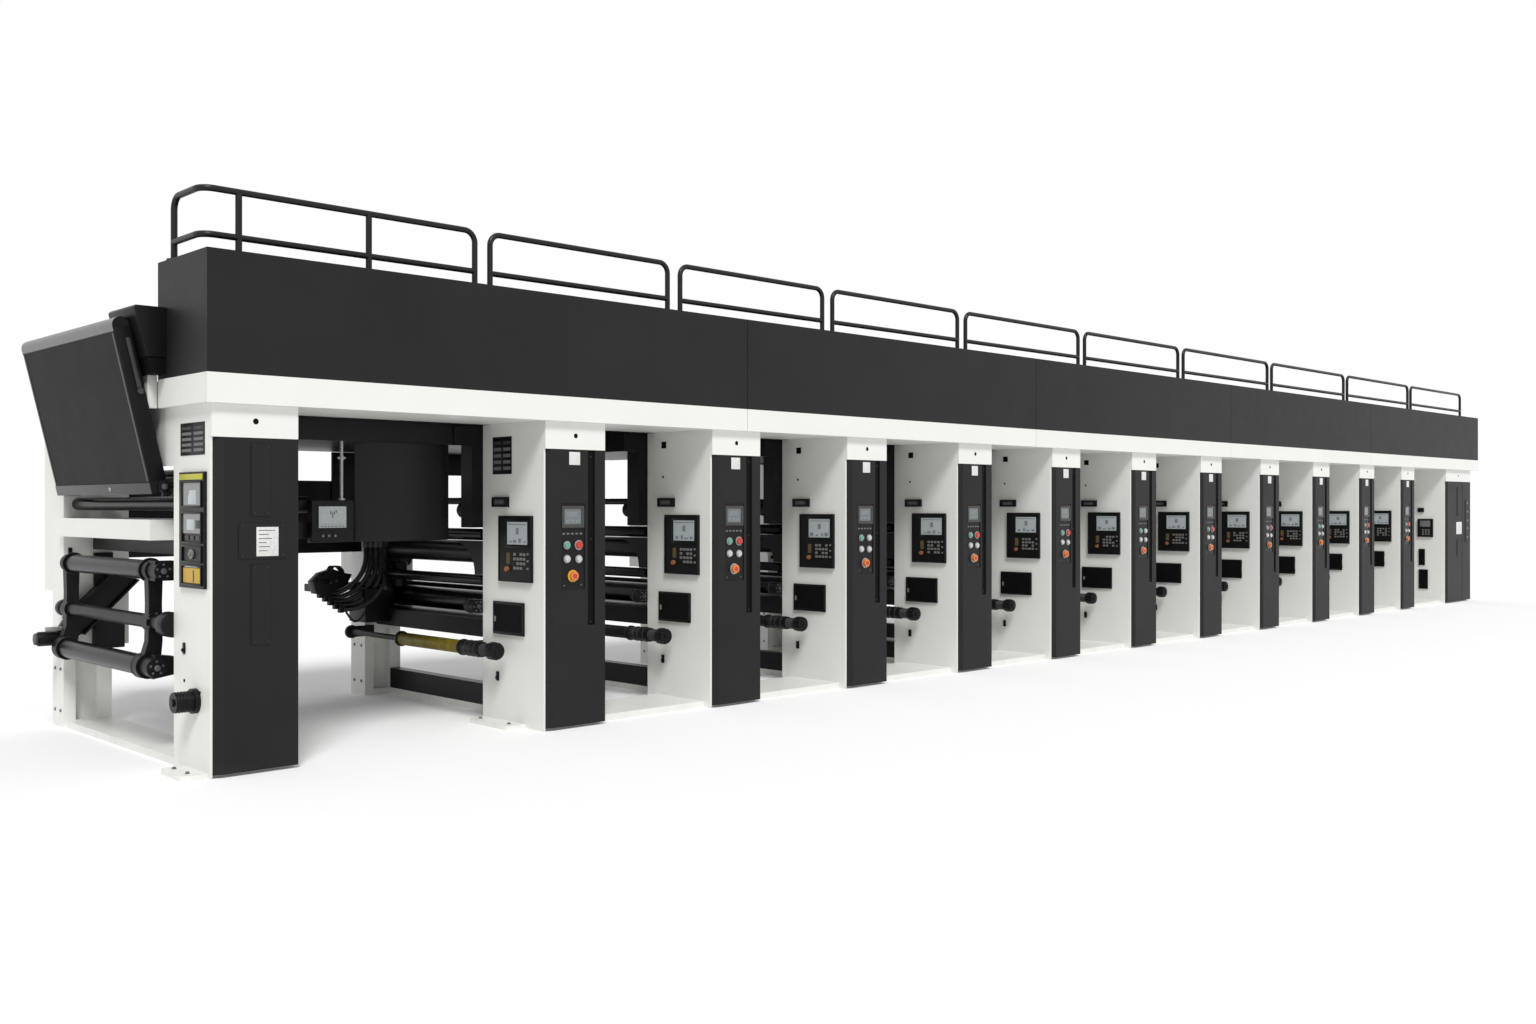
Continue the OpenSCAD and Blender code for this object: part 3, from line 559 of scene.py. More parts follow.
def coverDetails():
    p = coverPlates
    screws, card, marks, patches, slots, slotShade = (Stock() for _ in range(6))
    for x0, x1, z0, z1 in p["plates"]:
        for x in (x0 + p["inset"], x1 - p["inset"]):
            for z in (z0 + p["inset"], z1 - p["inset"]):
                screws.rod((x, p["face"] - 0.004, z), "y", 0.004, 0.007, 14, 0.001)
    x0, x1, z0, z1 = p["card"]
    card.slab(x0, x1, p["face"] - 0.002, p["face"], z0, z1, 0.0006)
    for k, (a, b) in enumerate(((0.1, 0.85), (0.1, 0.55), (0.1, 0.7), (0.1, 0.45), (0.1, 0.6), (0.1, 0.5))):
        z = z1 - (z1 - z0) * (0.1 + 0.14 * k)
        marks.slab(x0 + (x1 - x0) * a, x0 + (x1 - x0) * b, p["face"] - 0.0025, p["face"] - 0.002, z - 0.005, z)
    for x in unitLefts:
        patches.slab(x + 0.205, x + 0.301, -0.002, 0.0, 1.897, 1.990, 0.0006)
        # A near-black sheet inside each cover's recess: painted shade.
        slotShade.slab(x + 0.374, x + 0.435, 0.0105, 0.012, 0.738, coverTop - 0.002, 0.0004)
        for z in (0.760, 1.360, 1.960):
            screws.rod((x + 0.404, 0.006, z), "y", 0.005, 0.007, 14, 0.001)
        for z in (0.10, 1.94):
            for at in (0.110, 0.500):
                screws.rod((x + at, -0.003, z), "y", 0.003, 0.006, 14, 0.001)
    patches.slab(lastX + 0.475, lastX + 0.735, -0.002, 0.0, 1.132, 1.336, 0.0006)
    for z in (1.060, 1.210, 1.340, 1.490, 1.640):
        slots.slab(lastX + 0.960, lastX + 1.020, -0.008, -0.006, z, z + 0.035, 0.0006)
    for z in (0.780, 1.020, 1.450, 1.900):
        for at in (0.530, 0.715):
            screws.rod((lastX + at, -0.010, z), "y", 0.004, 0.008, 14, 0.001)
    # Near-black discs set back in the gap above each cover: painted shade.
    for x, wide in [(0.0, columnWidth)] + [(x, columnWidth) for x in unitLefts] + [(lastX, span("outfeed_housing", "x")[1] - lastX)]:
        slotShade.rod((x + wide / 2, 0.002, (coverTop + beamLow) / 2), "y", 0.005, 0.0175, 28)
    slotShade.piece("cover_slots", "recessDark", "dark_paint")
    screws.piece("cover_screws", "boltBlack", "dark_paint")
    card.piece("infeed_cover_card", "labelWhite", "dark_paint")
    marks.piece("infeed_cover_card_lines", "labelGrey", "dark_paint")
    patches.piece("cover_patches", "labelWhite", "dark_paint")
    slots.piece("outfeed_cover_marks", "labelGrey", "dark_paint")


# ---- tall panel on the infeed column
reelPanel = {"front": 0.066, "rear": 0.430, "face": 0.020, "strip": (1.757, 1.792),
             "bays": ((1.592, 1.750), (1.378, 1.566), (1.262, 1.366), (1.128, 1.252))}


def reelPanelDetails():
    p = reelPanel
    face = -p["face"]
    rims, strip, glass, pale, dark, yellow, dial = (Stock() for _ in range(7))
    y0, y1 = p["front"] + 0.022, p["rear"] - 0.050
    strip.slab(face - 0.006, face, y0 - 0.01, y1 + 0.035, *p["strip"], 0.002)
    for z0, z1 in p["bays"]:
        rims.rim(face, 0.010, y0, y1, z0, z1, 0.010, 0.002)
    (a0, a1), (b0, b1), (c0, c1), (d0, d1) = p["bays"]
    glass.slab(face - 0.003, face, y0 + 0.012, y1 - 0.012, a0 + 0.012, a1 - 0.012)
    pale.slab(face - 0.004, face - 0.003, y0 + 0.080, y1 - 0.095, a0 + 0.020, a1 - 0.055, 0.0005)
    glass.slab(face - 0.003, face, y0 + 0.012, y1 - 0.012, b0 + 0.060, b1 - 0.012)
    pale.slab(face - 0.004, face - 0.003, y0 + 0.110, y1 - 0.075, b0 + 0.080, b1 - 0.045, 0.0005)
    dark.slab(face - 0.005, face - 0.003, y0 + 0.030, y0 + 0.085, b0 + 0.090, b1 - 0.050, 0.0005)
    for k in range(3):
        dark.slab(face - 0.005, face, y0 + 0.030 + 0.080 * k, y0 + 0.080 + 0.080 * k, b0 + 0.022, b0 + 0.045, 0.001)
    dial.rod((face - 0.012, (y0 + y1) / 2, (c0 + c1) / 2), "x", 0.012, 0.030, 24, 0.003)
    dial.rod((face - 0.022, (y0 + y1) / 2, (c0 + c1) / 2), "x", 0.012, 0.012, 20, 0.003)
    yellow.slab(face - 0.004, face, y0 + 0.020, y1 - 0.020, d0 + 0.014, d1 - 0.020, 0.001)
    pale.slab(face - 0.004, face - 0.001, y0 + 0.060, y1 - 0.040, d1 - 0.016, d1 - 0.002, 0.0005)
    dark.slab(face - 0.006, face - 0.004, y0 + 0.110, y0 + 0.122, d0 + 0.020, d1 - 0.034)
    rims.piece("reel_panel_rims", "panelPlastic", "panel_plastic")
    strip.piece("reel_panel_lamp_strip", "stripLime", "panel_plastic")
    glass.piece("reel_panel_windows", "windowGlass", "panel_plastic")
    pale.piece("reel_panel_screens", "screenGlass", "panel_plastic")
    dark.piece("reel_panel_marks", "labelMid", "panel_plastic")
    yellow.piece("reel_panel_yellow_plate", "panelYellow", "panel_plastic")
    dial.piece("reel_panel_dial", "keyGrey", "panel_plastic")


# ---- plain data plates, latches, ports and hatches
plateSpots = ((0.0, 0.095, 0.455, 1.905, 2.100), (None, 0.420, 0.665, 1.835, 2.110))
hatch = {"front": 0.255, "rear": 0.640, "low": 0.660, "high": 0.900, "face": 0.015}


def plates():
    base, rows, heads, latches, ports = (Stock() for _ in range(5))
    for x, y0, y1, z0, z1 in plateSpots:
        x = unitLefts[0] if x is None else x
        base.slab(x - 0.003, x, y0, y1, z0, z1, 0.001)
        wide, tall = y1 - y0, z1 - z0
        for r in range(5):
            z = z1 - tall * (0.16 + 0.17 * r)
            for a, b in ((0.06, 0.44), (0.54, 0.94)):
                stock = heads if r == 0 else rows
                stock.slab(x - 0.004, x - 0.003, y0 + wide * a, y0 + wide * b, z - tall * 0.05, z + tall * 0.04)
    for x in [0.0] + unitLefts:
        y, z = (0.40, 0.74) if x == 0.0 else (0.60, 0.345)
        latches.slab(x - 0.008, x, y - 0.018, y + 0.018, z - 0.034, z + 0.034, 0.006)
        latches.rod((x - 0.018, y, z - 0.010), "x", 0.012, 0.011, 16, 0.002)
    for x in unitLefts[1:]:
        ports.slab(x - 0.002, x, 0.56, 0.62, 2.075, 2.130, 0.001)
        ports.rod((x - 0.003, 0.600, 1.840), "x", 0.003, 0.010, 14)
    for y, z in ((0.235, 0.500), (0.165, 0.494), (0.400, 0.545)):
        ports.rod((-0.004, y, z), "x", 0.004, 0.010, 14, 0.001)
    base.piece("data_plates", "panelPlastic", "panel_plastic")
    rows.piece("data_plate_fields", "labelGrey", "panel_plastic")
    heads.piece("data_plate_heads", "labelMid", "panel_plastic")
    latches.piece("door_latches", "blackPaint", "black_paint")
    ports.piece("side_port_covers", "recessDark", "black_paint")


def hatches():
    h = hatch
    rims, doorShade, catches = Stock(), Stock(), Stock()
    for x in unitLefts:
        face = x - h["face"]
        rims.rim(face, 0.003, h["front"], h["rear"], h["low"], h["high"], 0.012)
        # The door inside each rim is a near-black sheet: painted shade of the recess.
        doorShade.slab(face - 0.001, face, h["front"] + 0.02, h["rear"] - 0.02, h["low"] + 0.02, h["high"] - 0.02)
        catches.slab(face - 0.008, face - 0.001, h["rear"] - 0.040, h["rear"] - 0.022, h["low"] + 0.09, h["low"] + 0.13, 0.002)
        for z in (h["low"] + 0.05, h["high"] - 0.05):
            rims.rod((face - 0.006, h["front"] - 0.004, z - 0.018), "z", 0.036, 0.006, 12, 0.001)
    for y0, y1, z0, z1 in ((0.330, 0.425, 0.620, 0.890), (0.283, 0.425, 0.230, 0.550)):
        face = lastX - h["face"]
        rims.rim(face, 0.003, y0, y1, z0, z1, 0.010)
        # Near-black door inside the rim: painted shade of the recess.
        doorShade.slab(face - 0.001, face, y0 + 0.014, y1 - 0.014, z0 + 0.014, z1 - 0.014)
    rims.piece("hatch_rims", "panelPlastic", "black_paint")
    doorShade.piece("hatch_doors", "recessDark", "black_paint")
    catches.piece("hatch_catches", "keyGrey", "black_paint")


# ---- outfeed column panel
def outfeedPanel():
    face = lastX - 0.025
    rims, glass, keys = Stock(), Stock(), Stock()
    rims.rim(face, 0.004, 0.200, 0.440, 1.090, 1.390, 0.010)
    glass.slab(face - 0.002, face, 0.240, 0.400, 1.260, 1.360)
    for row in range(3):
        for col in range(3):
            keys.slab(face - 0.004, face, 0.250 + 0.045 * col, 0.278 + 0.045 * col, 1.125 + 0.035 * row,
                      1.147 + 0.035 * row, 0.002)
    rims.rim(lastX - 0.020, 0.004, 0.345, 0.440, 1.500, 1.570, 0.008)
    rims.piece("outfeed_panel_rims", "panelPlastic", "panel_plastic")
    glass.piece("outfeed_panel_screen", "windowGlass", "panel_plastic")
    keys.piece("outfeed_panel_keys", "keyGrey", "panel_plastic")


# ---- first bay: curved cabinet, screen box on its rod, fittings over it
bay = {"middle": (1.695, 1.500), "outer": 0.740, "inner": 0.655, "left": 1.346, "right": 2.125,
       "box": (0.999, 1.306, 0.780, 0.850, 1.352, 1.640), "screen": (1.046, 1.246, 1.452, 1.598),
       "rod": (1.232, 0.815), "rodRadius": 0.011, "collar": 1.919}


def cabinetShell():
    (x0, y0), (z0, z1) = bay["middle"], span("curved_cabinet", "z")
    start, end = (math.acos((bay[k] - x0) / bay["outer"]) for k in ("left", "right"))
    turns = [start + (end - start) * k / 40 for k in range(41)]
    outer = [(x0 + bay["outer"] * math.cos(a), y0 - bay["outer"] * math.sin(a)) for a in turns]
    inner = [(x0 + bay["inner"] * math.cos(a), y0 - bay["inner"] * math.sin(a)) for a in turns[::-1]]
    shell, lips = Stock(), Stock()
    shell.plan(outer + inner, z0, z1)
    lip = [(x0 + (bay["outer"] - 0.012) * math.cos(a), y0 - (bay["outer"] - 0.012) * math.sin(a), z0) for a in turns]
    lips.tube(lip, 0.009, 8)
    ob = shell.piece("curved_cabinet_shell", "charcoalPowder", "dark_paint")
    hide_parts("curved_cabinet")
    lips.piece("curved_cabinet_lip", "charcoalPowder", "dark_paint")


def screenBox():
    x0, x1, y0, y1, z0, z1 = bay["box"]
    body, rod, glass, marks, rim, knobs = (Stock() for _ in range(6))
    body.slab(x0, x1, y0, y1, z0, z1, 0.006)
    rx, ry = bay["rod"]
    top = span("curved_cabinet", "z")[1]
    rod.rod((rx, ry, z1), "z", top - z1, bay["rodRadius"], 18)
    rod.rod((rx, ry, z1), "z", 0.014, 0.024, 18, 0.003)
    rod.rod((rx, ry, bay["collar"]), "z", 0.030, 0.017, 18, 0.003)
    rod.rod((rx - 0.030, ry, bay["collar"] + 0.015), "x", 0.060, 0.007, 12, 0.002)
    a0, a1, c0, c1 = bay["screen"]
    rim.slab(a0 - 0.010, a1 + 0.010, y0 - 0.004, y0, c0 - 0.010, c1 + 0.010, 0.002)
    glass.slab(a0, a1, y0 - 0.006, y0 - 0.004, c0, c1)
    wide, tall = a1 - a0, c1 - c0
    for k in range(7):
        start = a0 + wide * (0.06 + 0.13 * k)
        marks.slab(start, start + wide * 0.09, y0 - 0.007, y0 - 0.006, c0 + tall * 0.04, c0 + tall * 0.10)
    marks.slab(a0 + wide * 0.04, a1 - wide * 0.04, y0 - 0.007, y0 - 0.006, c0 + tall * 0.16, c0 + tall * 0.175)
    for at, low, high in ((0.40, 0.62, 0.80), (0.47, 0.45, 0.74), (0.54, 0.60, 0.78), (0.61, 0.70, 0.84)):
        marks.slab(a0 + wide * at, a0 + wide * (at + 0.05), y0 - 0.007, y0 - 0.006, c0 + tall * low, c0 + tall * high)
    for k in range(3):
        knobs.rod((a0 + 0.030 + 0.045 * k, y0 - 0.008, z0 + 0.045), "y", 0.008, 0.009, 16, 0.002)
    ob = body.piece("screen_box_body", "blackPaint", "panel_plastic")
    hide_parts("operator_screen_box")
    rod.piece("screen_box_rod", "paleSteel", "black_paint")
    rim.piece("screen_box_rim", "panelPlastic", "panel_plastic")
    glass.piece("screen_box_glass", "screenGlass", "panel_plastic")
    marks.piece("screen_box_marks", "screenInk", "panel_plastic")
    knobs.piece("screen_box_buttons", "keyGrey", "panel_plastic")


def bayFittings():
    motor, brass, dark = Stock(), Stock(), Stock()
    motor.rod((1.235, 1.500, 2.128), "x", 0.130, 0.032, 24, 0.006)
    motor.rod((1.365, 1.500, 2.128), "x", 0.040, 0.020, 20, 0.003)
    brass.rod((1.405, 1.500, 2.128), "x", 0.110, 0.012, 16, 0.002)
    brass.slab(1.430, 1.470, 1.470, 1.530, 2.100, 2.190, 0.004)
    dark.slab(0.560, 1.700, 1.600, 1.620, 2.060, beamLow, 0.003)
    dark.slab(0.560, 1.700, 1.480, 1.600, 2.060, 2.084, 0.003)
    for x in (1.260, 1.345):
        motor.slab(x - 0.008, x + 0.008, 1.475, 1.525, 2.084, 2.128, 0.003)
    # Gear motor and boxes on the near face of the first unit's rear frame.
    x = unitX
    dark.slab(x + 0.040, x + 0.330, rearFront - 0.110, rearFront, 0.940, 1.240, 0.010)
    dark.rod((x + 0.130, rearFront - 0.240, 1.080), "y", 0.240, 0.095, 32, 0.010)
    dark.rod((x + 0.130, rearFront - 0.270, 1.080), "y", 0.030, 0.050, 24, 0.006)
    dark.rod((x + 0.280, rearFront - 0.180, 1.150), "y", 0.180, 0.062, 28, 0.008)
    dark.slab(x + 0.020, x + 0.400, rearFront - 0.050, rearFront, 1.240, 1.370, 0.006)
    # Plates and a cable duct on the far side, between the infeed and the first unit.
    dark.slab(2.085, x, 2.640, 2.660, 1.600, 2.050, 0.003)
    dark.slab(span("rear_frames", "x")[0] + 0.45, x, rearFront + 0.100, rearFront + 0.140, 1.555, 1.655, 0.003)
    dark.rod((0.700, 0.900, 1.610), "x", 0.330, 0.055, 28, 0.008)
    dark.slab(0.530, 0.730, 0.860, 0.940, 1.480, 1.640, 0.006)
    dark.slab(0.530, 1.060, 0.840, 0.870, 1.380, 1.500, 0.004)
    # Side plate beside the dryer, over the window to the right of the cabinet.
    dark.slab(2.900, 3.640, 2.560, 2.580, 1.870, 2.050, 0.003)
    motor.piece("bay_motor", "paleSteel", "black_paint")
    brass.piece("bay_brass", "brassDull", "black_paint")
    dark.piece("bay_machinery", "blackPaint", "black_paint")


# ---- inspection panel: top bar, bottom rail, side frame
tilt = {"degrees": -13.0, "front": -0.070, "back": 0.030, "top": 1.060, "low": -0.030,
        "near": 0.690, "far": 2.450, "bar": 0.052}


def inspectionDetails():
    t = tilt
    joint = next(j for j in behaviour["joints"] if j["name"] == "inspection_panel_tilt")
    pivot = Vector(joint["pos_m"])
    px, pz = pivot.x - originX, pivot.z
    bar, rail, side, strip, spots, lips = (Stock() for _ in range(6))
    # A shell over the rounded top edge, from the rear over to the front face.
    mid = (px + (t["front"] + t["back"]) / 2, pz + t["top"] - 0.050)
    arc = [(mid[0] + t["bar"] * math.cos(a), mid[1] + t["bar"] * math.sin(a))
           for a in (math.radians(40 + 140 * k / 14) for k in range(15))]
    arc.append((mid[0] - t["bar"], mid[1] - 0.034))
    ends = []
    for y in (t["near"] - 0.002, t["far"] + 0.002):
        ends.append([bar.bm.verts.new(Vector((originX + x, originY + y, z))) for x, z in arc])
    for k in range(len(arc) - 1):
        bar.bm.faces.new((ends[0][k], ends[0][k + 1], ends[1][k + 1], ends[1][k]))
    # Thin black rods along the bar's top edge and along its lower edge: dark lines, the lower one painted shade in the
    # crease under the bar.
    lips.rod((mid[0] + 0.036, t["near"], mid[1] + 0.038), "y", t["far"] - t["near"], 0.009, 12)
    lips.rod((mid[0] - t["bar"] + 0.001, t["near"], mid[1] - 0.032), "y", t["far"] - t["near"], 0.003, 8)
    for y in (t["near"] + 0.02, t["far"] - 0.02):
        rail.slab(px + t["front"] - 0.003, px + t["front"], y - 0.012, y + 0.012, pz + 0.05, pz + t["top"] - 0.09, 0.001)
    rail.slab(px + t["front"] - 0.005, px + t["front"], t["near"], t["far"], pz + t["low"], pz + 0.040, 0.002)
    spots.rod((px + t["front"] - 0.010, 1.38, pz + 0.006), "x", 0.006, 0.014, 20, 0.002)
    side.slab(px + t["front"], px + t["back"], t["near"] - 0.004, t["near"], pz + 0.050, pz + t["top"] - 0.060, 0.001)
    strip.slab(px - 0.015, px + 0.010, t["near"] - 0.016, t["near"] - 0.004, pz + 0.620, pz + 0.930, 0.004)
    strip.rod((px - 0.002, t["near"] - 0.028, pz + 0.600), "y", 0.026, 0.020, 20, 0.004)
    for y in (0.95, 2.19):
        side.slab(px + t["back"], px + t["back"] + 0.005, y - 0.03, y + 0.03, pz + 0.08, pz + t["top"] - 0.08, 0.001)
    for stock, name, finish in ((bar, "top_bar", "topBarGrey"), (rail, "rails", "railGrey"), (side, "side_frame", "blackPaint"),
                                (strip, "side_strip", "railGrey"), (spots, "spot", "paleSteel"),
                                (lips, "top_lips", "blackPaint")):
        stock.turn(pivot, "Y", t["degrees"]).piece("inspection_panel_" + name, finish, "dark_paint", "panel")


# ---- unwind: bolts on the arms, collars on the reel shafts
def unwindDetails():
    turret = {j["name"]: Vector(j["pos_m"]) for j in behaviour["joints"]}
    hub = turret["turret_spin"]
    for name, body in (("upper_reel_shaft_spin", "upper_reel"), ("lower_reel_shaft_spin", "lower_reel")):
        axis = turret[name]
        x, z = axis.x - originX, axis.z
        node = "reel_shaft_" + body.split("_")[0]
        radius = 0.062 if body == "upper_reel" else 0.066
        collars = Stock()
        for y in (0.940, 0.955, 2.375, 2.390):
            collars.ring((x, y, z), "y", radius + 0.013, 0.003)
        for k in range(8):
            a = math.radians(45 * k)
            collars.rod((x + (radius - 0.012) * math.cos(a), 0.928, z + (radius - 0.012) * math.sin(a)), "y", 0.010, 0.006, 6)
        collars.piece(body + "_collars", "railGrey", slotOf[node], body)
    bolts = Stock()
    hx, hz = hub.x - originX, hub.z
    for y, away in ((0.845, -1), (2.485, 1)):
        for k in range(6):
            a = math.radians(60 * k + 30)
            bolts.bolt((hx + 0.054 * math.cos(a), y, hz + 0.054 * math.sin(a)), "y", 0.007, 0.008, away)
    for name in ("upper_reel_shaft_spin", "lower_reel_shaft_spin"):
        x, z = turret[name].x - originX, turret[name].z
        for k in range(5):
            a = math.radians(72 * k + 18)
            bolts.bolt((x + 0.040 * math.cos(a), 0.730, z + 0.040 * math.sin(a)), "y", 0.006, 0.008)
            bolts.bolt((x + 0.048 * math.cos(a), 2.470, z + 0.048 * math.sin(a)), "y", 0.006, 0.008, 1)
        bolts.rod((x, 0.716, z), "y", 0.014, 0.020, 20, 0.004)
    bolts.piece("turret_bolts", "boltSteel", "black_paint", "turret")


# ---- unwind: bearing block, slanted arm with its stub, end box and end plate
support = {"lower": (-0.050, 0.635), "upper": (0.430, 1.115), "half": 0.078, "tip": 0.050, "near": 2.530,
           "stub": (-0.205, 2.565, 0.655), "stubLength": 0.175, "stubRadius": 0.052}


def turretSupport():
    hub = Vector(next(j for j in behaviour["joints"] if j["name"] == "turret_spin")["pos_m"])
    hx, hz = hub.x - originX, hub.z
    t = support
    body, cap, plate, strips = (Stock() for _ in range(4))
    body.slab(hx, hx + 0.110, endDepth, endDepth + 0.085, hz - 0.060, hz + 0.060, 0.005)
    body.rod((hx, endDepth, hz), "y", 0.110, 0.078, 36, 0.006)
    body.rod((hx, t["near"], hz), "y", rearFront - t["near"], 0.060, 36, 0.006)
    (ax, az), (bx, bz) = t["lower"], t["upper"]
    long = math.hypot(bx - ax, bz - az)
    ux, uz = (bx - ax) / long, (bz - az) / long
    at = lambda along, side: (ax + ux * along - uz * side, az + uz * along + ux * side)
    outline = [at(0, -t["tip"]), at(0.14, -t["half"]), at(long, -t["half"]), at(long, t["half"]),
               at(0.14, t["half"]), at(0, t["tip"])]
    body.profile(outline, t["near"], rearFront, 0.006)
    edge = [at(0.14, -t["half"] - 0.012), at(long, -t["half"] - 0.012), at(long, -t["half"]), at(0.14, -t["half"])]
    body.profile(edge, t["near"] - 0.030, rearFront)
    edge = [at(0.14, t["half"]), at(long, t["half"]), at(long, t["half"] + 0.012), at(0.14, t["half"] + 0.012)]
    body.profile(edge, t["near"] - 0.030, rearFront)
    body.rod((t["stub"][0] + 0.02, *t["stub"][1:]), "x", t["stubLength"], t["stubRadius"], 32, 0.010)
    body.rod((t["stub"][0] + t["stubLength"] - 0.02, *t["stub"][1:]), "x", 0.030, t["stubRadius"] + 0.010, 32, 0.004)
    body.slab(0.000, 0.060, rearFront - 0.060, rearFront, 0.560, 0.660, 0.006)
    cap.rod(t["stub"], "x", 0.020, t["stubRadius"] - 0.010, 32, 0.008)
    plate.slab(-0.150, 0.000, rearFront - 0.100, rearFront - 0.080, 0.712, 0.742, 0.006)
    plate.slab(-0.020, 0.000, rearFront - 0.100, rearFront, 0.700, 0.742, 0.004)
    # Black boxes, ducts and guides on the infeed's rear frame.
    strips.slab(0.190, 0.400, rearFront - 0.070, rearFront, 0.560, 0.800, 0.008)
    strips.slab(0.030, 0.056, rearFront - 0.010, rearFront, 0.640, 1.300, 0.002)
    strips.slab(0.200, 0.330, rearFront - 0.030, rearFront, 0.880, 1.260, 0.004)
    for z in (0.950, 1.060, 1.160):
        cap.rod((0.265, rearFront - 0.044, z), "y", 0.014, 0.020, 20, 0.003)
    ob = body.piece("turret_support", "blackPaint", "black_paint")
    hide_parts("turret_bearings")
    cap.piece("turret_support_caps", "railGrey", "black_paint")
    plate.piece("turret_support_guard", "paleSteel", "black_paint")
    strips.piece("infeed_frame_boxes", "blackPaint", "black_paint")


def hingeArms():
    # Lugs round the panel's pins: one on the infeed column, one on its rear frame.
    joint = next(j for j in behaviour["joints"] if j["name"] == "inspection_panel_tilt")
    px, pz = Vector(joint["pos_m"]).x - originX, Vector(joint["pos_m"]).z
    arms, bolts = Stock(), Stock()
    arms.slab(0.004, 0.050, endDepth, 0.680, pz - 0.070, pz - 0.010, 0.004)
    arms.slab(px - 0.010, 0.050, 0.655, 0.685, pz - 0.060, pz + 0.012, 0.005)
    arms.slab(0.004, 0.070, 2.480, rearFront, pz - 0.045, pz + 0.015, 0.004)
    arms.slab(px - 0.010, 0.070, 2.455, 2.485, pz - 0.045, pz + 0.015, 0.005)
    for y in (0.655, 2.455):
        arms.rod((px, y, pz), "y", 0.030, 0.036, 28, 0.005)
    for y, away in ((0.655, -1), (2.485, 1)):
        bolts.bolt((px, y, pz), "y", 0.015, 0.012, away)
        bolts.bolt((px + 0.050, y, pz - 0.030), "y", 0.007, 0.008, away)
    ob = arms.piece("panel_hinge_arms", "blackPaint", "black_paint")
    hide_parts("panel_brackets")
    bolts.piece("panel_hinge_bolts", "boltSteel", "black_paint")


def endPieces():
    low, high = span("infeed_end_box", "z")
    y0, y1 = span("infeed_end_box", "y")
    x1 = span("infeed_end_box", "x")[1]
    body, strip, plate = Stock(), Stock(), Stock()
    lean = 0.231
    left = lambda z: x1 - 0.088 - lean * (z - low)
    body.profile([(x1, low + 0.098), (x1, high - 0.045), (left(high) + 0.012, high - 0.045),
                  (left(high), high - 0.060), (left(low + 0.098), low + 0.098)], y0, y1, 0.004)
    strip.profile([(x1, low), (x1, low + 0.094), (left(low + 0.094) + 0.006, low + 0.094), (left(low) + 0.006, low)],
                  y0 + 0.006, y1 - 0.006, 0.003)
    plate.slab(x1 - 0.055, x1 + 0.004, y0 + 0.160, 1.500, beamLow + 0.001, low, 0.002)
    ob = body.piece("end_box_body", "blackPaint", "black_paint")
    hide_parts("infeed_end_box")
    strip.piece("end_box_strip", "recessDark", "black_paint")
    plate.piece("end_plate", "whiteEnamel", "white_paint")


# ---- ink rollers: sleeve, shaft, end plates, ribbed collar and hand knob
inkRoller = {"sleeve": (0.870, 1.750), "sleeveRadius": 0.050, "ringRadius": 0.061, "shaft": 0.022,
             "body": (0.600, 0.845), "bodyRadius": 0.057, "collar": (0.500, 0.600), "collarRadius": 0.045,
             "knob": (0.405, 0.500), "knobRadius": 0.062}


def inkRollers():
    r = inkRoller
    x = (span("ink_rollers", "x")[0] + r["sleeveRadius"]) - unitX
    z = sum(span("ink_rollers", "z")) / 2
    sleeves, shafts, collars, knobs, plates = (Stock() for _ in range(5))
    for left in unitLefts:
        a, b = r["sleeve"]
        sleeves.rod((left + x, a, z), "y", b - a, r["sleeveRadius"], 40, 0.003)
        shafts.rod((left + x, r["knob"][1], z), "y", rearFront - 0.030 - r["knob"][1], r["shaft"], 20)
        for y in (a - 0.025, b):
            shafts.rod((left + x, y, z), "y", 0.025, r["ringRadius"], 36, 0.004)
        for y in (unitDepth, rearFront - 0.030):
            plates.rod((left + x, y, z), "y", 0.030, 0.055, 32, 0.003)
            plates.slab(left + x, left + 0.070, y + 0.001, y + 0.029, z - 0.045, z + 0.045, 0.003)
        y0, y1 = r["body"]
        shafts.rod((left + x, y0, z), "y", unitDepth - y0, r["bodyRadius"], 36, 0.004)
        shafts.rod((left + x, unitDepth + 0.030, z), "y", y1 - unitDepth - 0.030, r["bodyRadius"], 36, 0.004)
        for y in (y0 + 0.045, y0 + 0.110, y0 + 0.165):
            collars.ring((left + x, y, z), "y", r["bodyRadius"], 0.0035, 32, 6)
        y0, y1 = r["collar"]
        collars.rod((left + x, y0, z), "y", y1 - y0, r["collarRadius"], 32, 0.003)
        for k in range(5):
            collars.ring((left + x, y0 + 0.014 + 0.018 * k, z), "y", r["collarRadius"], 0.0045, 28, 6)
        y0, y1 = r["knob"]
        knobs.rod((left + x, y0, z), "y", y1 - y0, r["knobRadius"], 36, 0.012)
        knobs.rod((left + x, y0 - 0.010, z), "y", 0.012, 0.026, 24, 0.004)
        for k in range(12):
            a = math.radians(30 * k)
            knobs.rod((left + x + (r["knobRadius"] - 0.003) * math.cos(a), y0 + 0.014, z + (r["knobRadius"] - 0.003) * math.sin(a)),
                      "y", y1 - y0 - 0.028, 0.007, 8, 0.002)
    ob = sleeves.piece("ink_roller_sleeves", "inkSleeve", "ink_yellow")
    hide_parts("ink_rollers")
    ob = shafts.piece("ink_roller_shafts", "blackPaint", "black_paint")
    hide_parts("ink_roller_brackets")
    plates.piece("ink_roller_plates", "blackPaint", "black_paint")
    collars.piece("ink_roller_collars", "railGrey", "black_paint")
    knobs.piece("ink_roller_knobs", "blackPaint", "black_paint")
